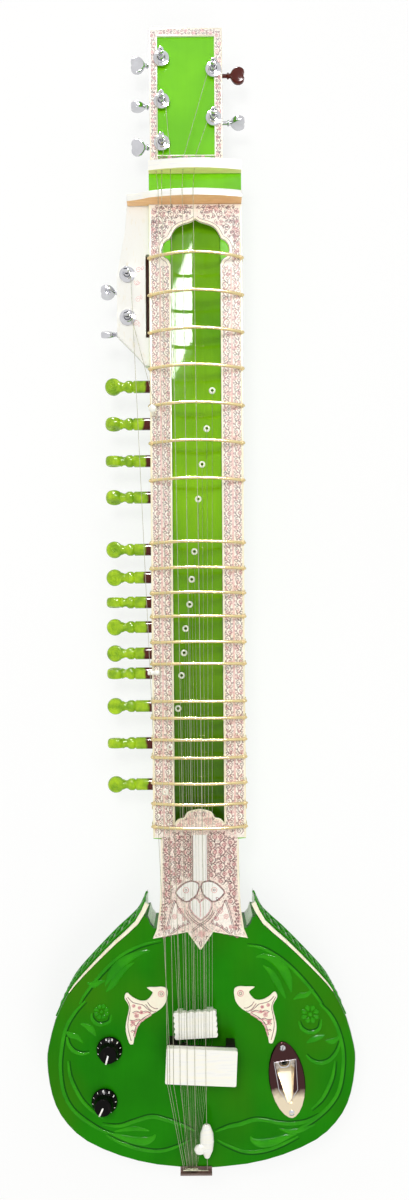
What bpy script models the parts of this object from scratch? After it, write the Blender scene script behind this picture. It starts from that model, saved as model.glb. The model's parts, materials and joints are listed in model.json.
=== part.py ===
"""Electric sitar, lying on its back: strings up (+Z), head towards +Y, treble side towards +X.

All sizes are in metres. Places along the neck are distances from the lower nut, where the open
strings end, towards the tail.
"""

import math

import bmesh
import bpy
from mathutils import Matrix, Vector

# Whole instrument
NUT_Y = 0.3799  # centre of the lower nut
FRONT_Z = 0.058  # front face of the body and of the neck's rails
FIT = 0.0003  # gap between two pieces that touch
ABOVE = 0.09  # where the cutters end that leave through the top
BELOW = -0.01  # and through the back

# Body: half widths against the distance from the shoulder tips, down one side
SHOULDER_TO_NUT = 0.6669
BODY_SIDE = (
    (0.0527, 0.0),
    (0.0620, 0.0180),
    (0.0825, 0.0371),
    (0.1030, 0.0580),
    (0.1209, 0.0779),
    (0.1297, 0.0922),
    (0.1387, 0.1112),
    (0.1454, 0.1368),
    (0.1468, 0.1511),
    (0.1447, 0.1720),
    (0.1390, 0.1929),
    (0.1278, 0.2109),
    (0.1093, 0.2271),
    (0.0774, 0.2413),
    (0.0423, 0.2499),
    (0.0, 0.2537),
)
SHOULDER_TEETH = ((0.0445, 0.0244), (0.0480, 0.0201), (0.0499, 0.0139), (0.0524, 0.0142))
TOP_PLATE_THICKNESS = 0.0077
TOP_EDGE_ROUND = 0.0026
OUTLINE_STEPS = 2  # points from each measured one to the next
EDGE_FADE = 3  # points over which the edge's rounding starts after the binding
BINDING_WIDTH = 0.0045
BINDING_END_WIDTH = 0.0008
BINDING_HEIGHT = 0.0036
BINDING_POINTS = 10  # outline points that the binding follows from the tip

# Control cavity, its cover and the wire tunnels in the body
CAVITY_CENTRE = (-0.089, 0.8245)
CAVITY_SIZE = (0.046, 0.100)
COVER_RIM = 0.007
COVER_THICKNESS = 0.0025
COVER_SCREW_INSET = 0.004
COVER_SCREW_SHANK = 0.0011
COVER_SCREW_LENGTH = 0.009
TUNNEL_RADIUS = 0.005
TUNNEL_Z = 0.024

# Neck
NECK_WIDTH = 0.088
NECK_TOP = 0.0368  # from the nut up to the headstock
NECK_BOTTOM = 0.6065  # from the nut down to the heel's step
NECK_RELIEF = 0.0015  # the fretted length lies this far above the table, for the ties
OVERLAY = 0.002
HEEL_PLATE = 0.0012
CHANNEL_WIDTH = 0.0474
CHANNEL_DEPTH = 0.014  # from the rails' wood down to the ledge
HOLLOW_WIDTH = 0.038
HOLLOW_FLOOR = 0.009
HEEL_STEP = 0.0006
HEEL_WIDTH_TOP = 0.0735
HEEL_WIDTH_BOTTOM = 0.0775
TENON = (0.044, 0.038, 0.030)
TENON_FLOOR = 0.010
PLATE_EDGE = 0.008
PLATE_SAG = 0.0048

# Headstock
HEAD_LEFT = -0.0427
HEAD_RIGHT = 0.0267
HEAD_LENGTH = 0.1284
HEAD_TOP_Z = 0.054
HEAD_THICKNESS = 0.018
HEAD_BORDER = 0.0076
BRACE_LENGTH = 0.024
BRACE_CLEARANCE = 0.0015

# Nuts
LOWER_NUT_THICKNESS = 0.0065
LOWER_NUT_HEIGHT = 0.0170
LOWER_NUT_ARM = 0.0206
UPPER_NUT_THICKNESS = 0.0093
UPPER_NUT_HEIGHT = 0.0092
UPPER_NUT_FROM_LOWER = 0.0312
NUT_CROWN = 0.0048
NUT_HOLE_DEPTH = 0.0030  # of the strings' holes below the upper nut's top
NUT_HOLE_RADIUS = 0.0009

# Frets: distances from the nut, and how far the movable ones slide towards it
FRETS = (
    0.0550, 0.0904, 0.1258, 0.1602, 0.1955, 0.2309, 0.2663, 0.3258, 0.3500, 0.3733,
    0.3956, 0.4198, 0.4403, 0.4756, 0.4914, 0.5119, 0.5287, 0.5529, 0.5724, 0.5947,
)
MOVABLE_FRETS = (8, 14, 18, 19)
FRET_RADIUS = 0.0015
FRET_RISE = 0.013
FRET_OVERHANG = 0.0018
FRET_SEATING = 0.0005  # how deep a fixed fret is set into the rails
FRET_SPANS = 6
TIE_RADIUS = 0.0004
TIE_OFFSET = 0.0032
TIE_TOP_DROP = 0.0037
TIES_BELOW = (19,)

# Tarab pegs and their eyelets
PEGS = (
    0.1700, 0.2063, 0.2423, 0.2777, 0.3285, 0.3556, 0.3798,
    0.4038, 0.4294, 0.4488, 0.4807, 0.5167, 0.5568,
)
PEG_TURNS = (0, 80, 95, 70, 0, 15, 90, 10, 0, 100, 5, 90, 0)
PEG_Z = 0.036
PEG_RADIUS = 0.0052
PEG_TIP_RADIUS = 0.0043
PEG_HEAD_RADIUS = 0.0082
PEG_HEAD_X = -0.0808
PEG_HEAD_FLATNESS = 0.58
EYELETS = (
    (0.0152, 0.1779), (0.0097, 0.2139), (0.0049, 0.2481), (0.0010, 0.2814), (-0.0031, 0.3320),
    (-0.0058, 0.3588), (-0.0080, 0.3829), (-0.0121, 0.4062), (-0.0137, 0.4296), (-0.0162, 0.4512),
    (-0.0198, 0.4828), (-0.0277, 0.5191), (-0.0324, 0.5617),
)
EYELET_RADIUS = 0.0031
EYELET_TUBE_RADIUS = 0.0021
EYELET_BORE_RADIUS = 0.0011
EYELET_RISE = 0.0009
EYELET_SINK = 0.0009

# Machine heads: post places, the side of the button, and where the worm lies from the post
HEAD_POSTS = (
    (-0.0312, -0.0555, -1), (-0.0312, -0.0954, -1), (-0.0312, -0.1359, -1),
    (0.0183, -0.1251, 1), (0.0183, -0.0789, 1),
)
SIDE_POSTS = ((-0.0651, 0.0686, -1), (-0.0651, 0.1095, -1))
POST_RADIUS = 0.003
POST_RISE = 0.014
BUSH_RADIUS = 0.0043
WASHER_RADIUS = 0.0076
WASHER_THICKNESS = 0.0016
GEAR_RADIUS = 0.0074
GEAR_WIDTH = 0.006
WORM_RADIUS = 0.0031
WORM_OFFSET = 0.0109
WORM_SHAFT = 0.0018
HOUSING_HALF_WIDTH = 0.009
HOUSING_DEPTH = 0.0115
HOUSING_WALL = 0.0012
HEAD_BUTTON_START = 0.0165
SIDE_BUTTON_START = 0.0125
BUTTON_LENGTH = 0.0145
BUTTON_RADIUS = 0.0078
BUTTON_FLATNESS = 0.45

# Side plate for the chikari machine heads
SIDE_PLATE_LEFT = -0.0752
SIDE_PLATE_THICKNESS = 0.008
SIDE_PLATE_TOP_Z = 0.054
SIDE_PLATE_LENGTH = 0.1585
SIDE_SLOT_WIDTH = 0.0035
SIDE_SLOT = (0.0495, 0.1285)

# Chikari posts: how far in from the neck's left edge, and from the nut
CHIKARI_POST_1 = (0.0031, 0.2028)
CHIKARI_POST_2 = (0.0024, 0.4483)
CHIKARI_POST_RADIUS = 0.0022
CHIKARI_KNOB_RADIUS = 0.0038
CHIKARI_BAR_RADIUS = 0.0024
CHIKARI_BAR_RISE = 0.0108
CHIKARI_POST_RISE = (0.0215, 0.0130)
CHIKARI_BAR_REACH = (0.0060, 0.0050)

# Bridges
MAIN_BRIDGE = (0.0, 0.8107)
MAIN_JAWARI = (0.0653, 0.0329, 0.0077)
MAIN_BRIDGE_TURN = -2.7
STRING_Z_AT_BRIDGE = 0.0900
BRIDGE_BEAM = 0.005
BRIDGE_LEG_WIDTH = 0.0085
SMALL_BRIDGE = (-0.0051, 0.7767)
SMALL_JAWARI = (0.0404, 0.0254, 0.0060)
SMALL_BRIDGE_TURN = 3.0
STRING_Z_AT_SMALL_BRIDGE = 0.0765
SMALL_LEG_WIDTH = 0.006

# Strings
MAIN_TO_POST = ((2, -1), (0, 1), (1, 1), (3, -1), (4, -1))  # the post and its side, string by string
MAIN_AT_NUT = (-0.0345, -0.0311, -0.0227, -0.0120, -0.0018)
MAIN_AT_UPPER_NUT = (-0.0367, -0.0311, -0.0230, -0.0112, -0.0005)
MAIN_AT_BRIDGE = (-0.0255, -0.0195, -0.0130, -0.0060, 0.0041)
MAIN_AT_TAIL = (-0.0135, -0.0110, -0.0085, -0.0055, 0.0050)
CHIKARI_AT_BRIDGE = (-0.0290, -0.0312)
CHIKARI_AT_TAIL = (-0.0155, -0.0170)
STRING_RADIUS = 0.00022
TARAB_RADIUS = 0.00014
TARAB_SPACING = 0.0026
TARAB_TAIL_SPACING = 0.0008
TARAB_TAIL_X = -0.0095

# Controls
KNOBS = ((-0.0870, 0.8055), (-0.0920, 0.8545))
KNOB_RADIUS = 0.0122
KNOB_HEIGHT = 0.0150
KNOB_TOP_RADIUS = 0.0082
POT_SHAFT_RADIUS = 0.003
POT_RADIUS = 0.0082
POT_HEIGHT = 0.0085
KNOB_LIFT = 0.0012
BRIDGE_WIRE = (-0.0160, 0.8030)
PIEZO = (0.0040, 0.0008)
LEAD_RADIUS = 0.0009
LEAD_BEND = 0.014

# Jack plate
JACK = (0.0812, 0.8357)
JACK_SIZE = (0.0343, 0.0737)
JACK_TURN = 7.6
JACK_PLATE = 0.0020
JACK_CUP_DEPTH = 0.0180
JACK_WALL = 0.0015
JACK_POCKET_ROOM = 0.0012
SOCKET_RADIUS = 0.0046
SOCKET_BORE_RADIUS = 0.0033
SOCKET_LENGTH = 0.026
SOCKET_FROM_MIDDLE = 0.0110
JACK_CUP_TOP = ((-0.0118, 0.0205), (-0.0032, -0.0235), (0.0032, -0.0235), (0.0118, 0.0205))
JACK_CUP_FLOOR = ((-0.0090, 0.0185), (-0.0080, 0.0035), (0.0080, 0.0035), (0.0090, 0.0185))
JACK_SCREW_SHANK = 0.0013
JACK_SCREW_HEAD = 0.0027
JACK_SCREW_INSET = 0.0058
JACK_SCREW_LENGTH = 0.0065

# Bead, tail and inlays
BEAD_Y = 0.8865
BEAD_LENGTH = 0.0410
BEAD_WIDTH = 0.0135
BEAD_THICKNESS = 0.0090
BEAD_BORE_RADIUS = 0.0009
BREAST_RADIUS = 0.0058
BREAST_PLACE = (0.0066, 0.0031, -0.0065)
TAIL_STRING_Z = 0.0630
TARAB_TAIL_Z = 0.0606
TAIL_PLATE = (0.0300, 0.0022)
TAIL_PLATE_LOW = 0.0240
TAIL_MIDDLE = -0.0055
TAIL_HOOK_RADIUS = 0.0011
TAIL_LIP = (0.0042, 0.0011)
ANCHOR_RADIUS = 0.0006
INLAY_THICKNESS = 0.0012
BIRD = (
    (0.0064, 0.0000), (0.0056, 0.0044), (0.0012, 0.0063), (-0.0048, 0.0060), (-0.0133, 0.0057),
    (-0.0085, 0.0018), (-0.0085, -0.0007), (-0.0133, -0.0061), (-0.0200, -0.0066), (-0.0273, -0.0030),
    (-0.0324, 0.0011), (-0.0347, -0.0040), (-0.0311, -0.0104), (-0.0306, -0.0158), (-0.0332, -0.0267),
    (-0.0336, -0.0359), (-0.0306, -0.0467), (-0.0281, -0.0482), (-0.0263, -0.0467), (-0.0248, -0.0359),
    (-0.0212, -0.0298), (-0.0133, -0.0224), (-0.0011, -0.0152), (0.0048, -0.0079),
)
BIRD_HEAD = (0.0378, 0.7527)
BIRD_STEPS = 3

# Heel plate's outline below the step: half widths against the distance from the nut
HEEL_SIDE = ((0.0372, 0.6072), (0.0372, 0.640), (0.0385, 0.672), (0.0415, 0.692), (0.0452, 0.7008))
HEEL_POINTS = ((0.0120, 0.6945), (0.0, 0.7115))
HEEL_LOBES = ((0.0, 0.5785), (0.0105, 0.5810), (0.0140, 0.5865), (0.0195, 0.5880), (0.0240, 0.5928))

# Cusped arch at the top of the channel: half widths against the distance from the nut
ARCH = (
    (0.0, 0.0115), (0.0075, 0.0200), (0.0150, 0.0225), (0.0243, 0.0290), (0.0262, 0.0380),
    (0.0330, 0.0440), (0.0345, 0.0530), (0.0250, 0.0570),
)


def material(name, colour, roughness, metallic=0.0):
    """A plain finish."""
    finish = bpy.data.materials.new(name)
    finish.use_nodes = True
    shader = finish.node_tree.nodes["Principled BSDF"]
    shader.inputs["Base Color"].default_value = (*colour, 1.0)
    shader.inputs["Roughness"].default_value = roughness
    shader.inputs["Metallic"].default_value = metallic
    return finish


def at(distance):
    """The Y of a place given as its distance from the lower nut."""
    return NUT_Y - distance


def link(thing, helper=False):
    """Puts an object in the instrument's collection, or in the cutters'."""
    collection = bpy.data.collections["Cutters" if helper else "Electric sitar"]
    collection.objects.link(thing)
    return thing


def freeze(thing, face_out=True):
    """Turns an object with curves or modifiers into a plain mesh in the same place."""
    bpy.context.view_layer.update()
    graph = bpy.context.evaluated_depsgraph_get()
    mesh = bpy.data.meshes.new_from_object(thing.evaluated_get(graph))
    body = bmesh.new()
    body.from_mesh(mesh)
    bmesh.ops.remove_doubles(body, verts=body.verts, dist=1e-6)
    if face_out:
        bmesh.ops.recalc_face_normals(body, faces=body.faces)
    body.to_mesh(mesh)
    body.free()
    solid = bpy.data.objects.new(thing.name, mesh)
    solid.matrix_world = thing.matrix_world
    for collection in thing.users_collection:
        collection.objects.link(solid)
    finishes = [slot.material for slot in thing.material_slots]
    name = thing.name
    bpy.data.objects.remove(thing)
    solid.name = name
    if finishes and not solid.data.materials:
        solid.data.materials.append(finishes[0])
    bpy.context.view_layer.update()
    return solid


def mesh_object(name, body, finish=None, place=(0, 0, 0), helper=False):
    """An object from a bmesh whose points are measured from its place."""
    bmesh.ops.recalc_face_normals(body, faces=body.faces)
    mesh = bpy.data.meshes.new(name)
    body.to_mesh(mesh)
    body.free()
    thing = bpy.data.objects.new(name, mesh)
    thing.location = place
    if finish:
        mesh.materials.append(finish)
    return link(thing, helper)


def loft(name, rings, finish=None, place=(0, 0, 0), helper=False):
    """A solid through rings of equally many points, closed at both ends."""
    body = bmesh.new()
    loops = [[body.verts.new(point) for point in ring] for ring in rings]
    count = len(loops[0])
    for low, high in zip(loops, loops[1:]):
        for i in range(count):
            j = (i + 1) % count
            body.faces.new((low[i], low[j], high[j], high[i]))
    body.faces.new(loops[0][::-1])
    body.faces.new(loops[-1])
    return mesh_object(name, body, finish, place, helper)


def slab(name, outline, low, high, finish=None, holes=(), helper=False):
    """A flat outline, with any holes, given its thickness between two heights."""
    data = bpy.data.curves.new(name, "CURVE")
    data.dimensions = "2D"
    data.fill_mode = "BOTH"
    data.extrude = (high - low) / 2
    data.render_resolution_u = 0
    for loop in (outline, *holes):
        spline = data.splines.new("POLY")
        spline.points.add(len(loop) - 1)
        spline.use_cyclic_u = True
        for point, (x, y) in zip(spline.points, loop):
            point.co = (x, y, 0, 1)
    thing = bpy.data.objects.new(name, data)
    thing.location.z = (low + high) / 2
    if finish:
        data.materials.append(finish)
    return freeze(link(thing, helper))


def box(name, low, high, finish=None, helper=False, bevel=0.0):
    """A box between two corners, its edges eased where asked."""
    body = bmesh.new()
    bmesh.ops.create_cube(body, size=1.0)
    centre = (Vector(low) + Vector(high)) / 2
    size = Vector(high) - Vector(low)
    bmesh.ops.scale(body, vec=size, verts=body.verts)
    if bevel:
        bmesh.ops.bevel(body, geom=body.edges[:], offset=bevel, segments=1, affect="EDGES")
    return mesh_object(name, body, finish, centre, helper)


def turned(name, profile, place, axis, sides, finish=None, helper=False, closed=False):
    """A profile of radii and heights, from its top down, turned about an axis through a place."""
    mesh = bpy.data.meshes.new(name)
    points = [(radius, 0.0, height) for radius, height in profile]
    edges = [(i, i + 1) for i in range(len(points) - 1)]
    if closed:
        edges.append((len(points) - 1, 0))
    mesh.from_pydata(points, edges, [])
    thing = bpy.data.objects.new(name, mesh)
    thing.location = place
    thing.rotation_euler = Vector(axis).to_track_quat("Z", "Y").to_euler()
    screw = thing.modifiers.new("Turned", "SCREW")
    screw.steps = screw.render_steps = sides
    screw.use_merge_vertices = True
    screw.merge_threshold = 1e-5
    if finish:
        mesh.materials.append(finish)
    return freeze(link(thing, helper))


def rod(name, low, high, radius, sides=8, finish=None, helper=False):
    """A round bar between two points."""
    low = Vector(low)
    high = Vector(high)
    length = (high - low).length
    profile = ((0, length), (radius, length), (radius, 0), (0, 0))
    return turned(name, profile, low, high - low, sides, finish, helper)


def tube(name, points, radius, finish=None, resolution=0):
    """A round wire along points."""
    data = bpy.data.curves.new(name, "CURVE")
    data.dimensions = "3D"
    data.bevel_depth = radius
    data.bevel_resolution = resolution
    data.use_fill_caps = True
    data.render_resolution_u = 0
    spline = data.splines.new("POLY")
    spline.points.add(len(points) - 1)
    for point, place in zip(spline.points, points):
        point.co = (*place, 1)
    thing = bpy.data.objects.new(name, data)
    if finish:
        data.materials.append(finish)
    return freeze(link(thing))


def combine(target, tools, operation="DIFFERENCE"):
    """Cuts each tool out of a solid, or adds it, and drops the tools."""
    for tool in tools:
        boolean = target.modifiers.new("Combine", "BOOLEAN")
        boolean.operation = operation
        boolean.solver = "EXACT"
        boolean.object = tool
        tool.hide_render = True
        tool.display_type = "WIRE"
        target = freeze(target, face_out=False)
        bpy.data.objects.remove(tool)
    return target


def smooth(thing, angle=35):
    """Shades round faces smooth and keeps edges sharper than the angle."""
    thing.data.shade_smooth()
    thing.data.set_sharp_from_angle(angle=math.radians(angle))
    return thing


def circle(centre, radius, sides):
    """Points of a circle in plan."""
    x, y = centre
    return [
        (
            x + radius * math.cos(math.tau * i / sides),
            y + radius * math.sin(math.tau * i / sides),
        )
        for i in range(sides)
    ]


def smooth_line(points, steps):
    """A smooth line through points, with so many steps from each to the next."""
    line = []
    last = len(points) - 1
    for i in range(last):
        before, start = Vector(points[max(i - 1, 0)]), Vector(points[i])
        end, after = Vector(points[i + 1]), Vector(points[min(i + 2, last)])
        for step in range(steps):
            t = step / steps
            line.append(
                0.5
                * (
                    2 * start
                    + (end - before) * t
                    + (2 * before - 5 * start + 4 * end - after) * t**2
                    + (3 * start - before - 3 * end + after) * t**3
                )
            )
    line.append(Vector(points[last]))
    return line


def turn_in_plan(points, centre, degrees):
    """Points given about a centre, turned and put in place."""
    turn = Matrix.Rotation(math.radians(degrees), 2)
    return [tuple(Vector(centre) + turn @ Vector(point)) for point in points]


def shrink(outline, by, shares=None):
    """An outline that runs anticlockwise, drawn in by a distance, or a share of it at each point."""
    drawn = []
    count = len(outline)
    shares = shares or [1.0] * count
    for i, point in enumerate(outline):
        before = (Vector(point) - Vector(outline[i - 1])).normalized()
        after = (Vector(outline[(i + 1) % count]) - Vector(point)).normalized()
        normal = Vector((-before.y, before.x)) + Vector((-after.y, after.x))
        scale = max(normal.length_squared / 2, 0.6)
        drawn.append(tuple(Vector(point) + normal / scale * by * shares[i]))
    return drawn


SHOULDER_Y = at(SHOULDER_TO_NUT)
BODY_END_Y = at(SHOULDER_TO_NUT + BODY_SIDE[-1][1])
JOINT_Y = SHOULDER_Y - SHOULDER_TEETH[0][1]
BODY_CORE_TOP = FRONT_Z - TOP_PLATE_THICKNESS - FIT
RAIL_Z = FRONT_Z - OVERLAY - FIT
LEDGE_Z = RAIL_Z - CHANNEL_DEPTH
PLATE_LOW = LEDGE_Z + FIT
HEAD_Y = at(-NECK_TOP)
UPPER_NUT_Y = at(-UPPER_NUT_FROM_LOWER)
NUT_TOP_Z = FRONT_Z + LOWER_NUT_HEIGHT
UPPER_NUT_TOP_Z = FRONT_Z + UPPER_NUT_HEIGHT
TAIL_Y = BODY_END_Y - FIT
STRING_END_Y = TAIL_Y + 0.0020
JACK_PLACE = (JACK[0], at(JACK[1]))
SOCKET_PLACE = turn_in_plan([(0.0, SOCKET_FROM_MIDDLE)], JACK_PLACE, JACK_TURN)[0]
BRIDGE_WIRE_HOLE = (BRIDGE_WIRE[0], at(BRIDGE_WIRE[1]))
LEAD_BEND_Z = FRONT_Z - LEAD_BEND


def body_side_line():
    """The right side of the body from the shoulder tip to the tail."""
    line = smooth_line([(half, SHOULDER_Y - down) for half, down in BODY_SIDE], OUTLINE_STEPS)
    return [tuple(point) for point in line]


def body_outline():
    """The body's outline, anticlockwise from the notch beside the heel on the right."""
    side = body_side_line()
    teeth = [(half, SHOULDER_Y - down) for half, down in SHOULDER_TEETH]
    right = teeth + side
    left = [(-x, y) for x, y in reversed(right[:-1])]
    return (right + left)[::-1]


def rounded_edge_shares():
    """How much of the edge's rounding each outline point gets: none beside the heel and the binding."""
    teeth = [0.0] * len(SHOULDER_TEETH)
    count = len(body_side_line())
    right = teeth + [min(max((i - BINDING_POINTS + EDGE_FADE) / EDGE_FADE, 0.0), 1.0) for i in range(count)]
    return (right + right[-2::-1])[::-1]


def rounded_rectangle(centre, size, radius, steps=3):
    """A rectangle in plan with round corners."""
    half_x = size[0] / 2 - radius
    half_y = size[1] / 2 - radius
    points = []
    for corner, (sx, sy) in enumerate(((1, 1), (-1, 1), (-1, -1), (1, -1))):
        for step in range(steps + 1):
            angle = math.radians(90 * (corner + step / steps))
            points.append(
                (
                    centre[0] + sx * half_x + radius * math.cos(angle),
                    centre[1] + sy * half_y + radius * math.sin(angle),
                )
            )
    return points


def cover_screw_places():
    """Where the control cover's four screws go."""
    half_x = CAVITY_SIZE[0] / 2 + COVER_RIM - COVER_SCREW_INSET
    half_y = CAVITY_SIZE[1] / 2 + COVER_RIM - COVER_SCREW_INSET
    centre_y = at(CAVITY_CENTRE[1])
    return [
        (CAVITY_CENTRE[0] + sx * half_x, centre_y + sy * half_y) for sx in (-1, 1) for sy in (-1, 1)
    ]


def cup_rings(grow, top, floor):
    """The jack cup's rings, larger or smaller than its outside, from its floor up to a height."""
    rings = []
    for ring, z in ((JACK_CUP_FLOOR, floor), (JACK_CUP_TOP, FRONT_Z), (JACK_CUP_TOP, top)):
        outline = shrink(ring, -grow)
        rings.append([(x, y, z) for x, y in turn_in_plan(outline, JACK_PLACE, JACK_TURN)])
    return rings


def make_body(finish):
    """The wooden slab: mortise, control cavity with the cover's recess, and wire tunnels."""
    core = slab("body_core", body_outline(), 0.0, BODY_CORE_TOP, finish)
    cavity_y = at(CAVITY_CENTRE[1])
    centre = (CAVITY_CENTRE[0], cavity_y)
    recess = (CAVITY_SIZE[0] + 2 * COVER_RIM, CAVITY_SIZE[1] + 2 * COVER_RIM)
    tools = [
        slab("cavity", rounded_rectangle(centre, CAVITY_SIZE, 0.008), BELOW, ABOVE, helper=True),
        slab(
            "cover recess",
            rounded_rectangle(centre, recess, 0.006),
            BELOW,
            COVER_THICKNESS + 2 * FIT,
            helper=True,
        ),
    ]
    wide, long, _ = TENON
    tools.append(
        box(
            "mortise",
            (-wide / 2 - FIT, JOINT_Y - long - FIT, TENON_FLOOR - FIT),
            (wide / 2 + FIT, JOINT_Y + long, ABOVE),
            helper=True,
        )
    )
    for x, y in cover_screw_places():
        end = COVER_THICKNESS + COVER_SCREW_LENGTH
        tools.append(rod("screw hole", (x, y, 0), (x, y, end), COVER_SCREW_SHANK + FIT, 6, helper=True))
    rings = cup_rings(JACK_POCKET_ROOM, ABOVE, FRONT_Z - JACK_CUP_DEPTH - JACK_POCKET_ROOM)
    tools.append(loft("cup pocket", rings, helper=True))
    x, y = SOCKET_PLACE
    socket_low = FRONT_Z - JACK_CUP_DEPTH - SOCKET_LENGTH - 0.001
    tools.append(rod("socket pocket", (x, y, socket_low), (x, y, 0.05), SOCKET_RADIUS + 0.002, 12, helper=True))
    tools.append(rod("tunnel", (CAVITY_CENTRE[0], y, TUNNEL_Z), (x, y, TUNNEL_Z), TUNNEL_RADIUS, 8, helper=True))
    hole_x, hole_y = BRIDGE_WIRE_HOLE
    bend = (hole_x, hole_y, LEAD_BEND_Z)
    tools.append(rod("bridge hole", (hole_x, hole_y, ABOVE), bend, TUNNEL_RADIUS / 2, 8, helper=True))
    bend = (hole_x, hole_y, LEAD_BEND_Z + 0.002)
    tools.append(rod("bridge tunnel", bend, (hole_x, y, TUNNEL_Z), TUNNEL_RADIUS / 2, 8, helper=True))
    return combine(core, tools)


def binding_line():
    """The stretch of the body's right side that carries binding."""
    return body_side_line()[:BINDING_POINTS]


def binding_outline(grow):
    """The right binding strip in plan, longer and its inner side moved in by a distance."""
    line = [Vector(point) for point in binding_line()]
    line[0] += (line[0] - line[1]).normalized() * grow
    line[-1] += (line[-1] - line[-2]).normalized() * grow
    inner = []
    for i, point in enumerate(line):
        before = line[max(i - 1, 0)]
        after = line[min(i + 1, len(line) - 1)]
        along = (after - before).normalized()
        inward = Vector((along.y, -along.x))
        share = i / (len(line) - 1)
        width = BINDING_WIDTH * (1 - share) + BINDING_END_WIDTH * share
        inner.append(tuple(point + inward * (width + grow)))
    outer = [tuple(point) for point in line]
    return outer, inner


def make_top_plate(finish):
    """The front plate: holes for the controls and the jack cup, and a rebate for the binding."""
    outline = body_outline()
    low = BODY_CORE_TOP + FIT
    r = TOP_EDGE_ROUND
    layers = [[(x, y, low) for x, y in outline]]
    for share, z in ((0.0, FRONT_Z - r), (0.3, FRONT_Z - 0.3 * r), (1.0, FRONT_Z)):
        layers.append([(x, y, z) for x, y in shrink(outline, share * r, rounded_edge_shares())])
    plate = loft("top_plate", layers, finish)
    tools = []
    for x, down in KNOBS:
        y = at(down)
        tools.append(rod("shaft hole", (x, y, FRONT_Z / 2), (x, y, ABOVE), POT_SHAFT_RADIUS + 0.001, 10, helper=True))
    rings = cup_rings(JACK_POCKET_ROOM, ABOVE, FRONT_Z - JACK_CUP_DEPTH - JACK_POCKET_ROOM)
    tools.append(loft("cup hole", rings, helper=True))
    hole_x, hole_y = BRIDGE_WIRE_HOLE
    low, high = (hole_x, hole_y, FRONT_Z / 2), (hole_x, hole_y, ABOVE)
    tools.append(rod("wire hole", low, high, TUNNEL_RADIUS / 2, 8, helper=True))
    for x, y in jack_screw_places():
        low, high = (x, y, FRONT_Z - JACK_SCREW_LENGTH), (x, y, ABOVE)
        tools.append(rod("jack screw hole", low, high, JACK_SCREW_SHANK + FIT, 6, helper=True))
    outer, inner = binding_outline(1.5 * FIT)
    spread = [(x * 1.03, y + 0.003) for x, y in outer]
    for side in (1, -1):
        loop = [(side * x, y) for x, y in spread + inner[::-1]]
        tools.append(slab("rebate", loop, FRONT_Z - BINDING_HEIGHT - FIT, ABOVE, helper=True))
    return combine(plate, tools)


def make_binding(finish):
    """Cream strips let into both shoulders of the front plate."""
    outer, inner = binding_outline(0.0)
    for name, side in (("edge_binding_right", 1), ("edge_binding_left", -1)):
        loop = [(side * x, y) for x, y in outer + inner[::-1]]
        slab(name, loop, FRONT_Z - BINDING_HEIGHT, FRONT_Z + FIT, finish)


def make_control_cover(finish):
    """The thin plate that closes the control cavity at the back."""
    centre = (CAVITY_CENTRE[0], at(CAVITY_CENTRE[1]))
    size = (CAVITY_SIZE[0] + 2 * COVER_RIM - 2 * FIT, CAVITY_SIZE[1] + 2 * COVER_RIM - 2 * FIT)
    outline = rounded_rectangle(centre, size, 0.0057)
    cover = slab("control_cover", outline, FIT, FIT + COVER_THICKNESS, finish)
    screws = []
    for x, y in cover_screw_places():
        end = COVER_THICKNESS + COVER_SCREW_LENGTH - FIT
        screws.append(rod("screw", (x, y, COVER_THICKNESS / 2), (x, y, end), COVER_SCREW_SHANK, 6))
    return combine(cover, screws, "UNION")


def neck_section(half, low, high):
    """One cross-section of the neck's outside, from the left rail round the back to the right."""
    side = (
        (1.0, high),
        (1.0, 0.033),
        (0.97, 0.022),
        (0.86, 0.010),
        (0.70, 0.003),
        (0.55, 0.0),
    )
    left = [(-half * share, max(z, low)) for share, z in side]
    return left + [(-x, z) for x, z in reversed(left)]


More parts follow.
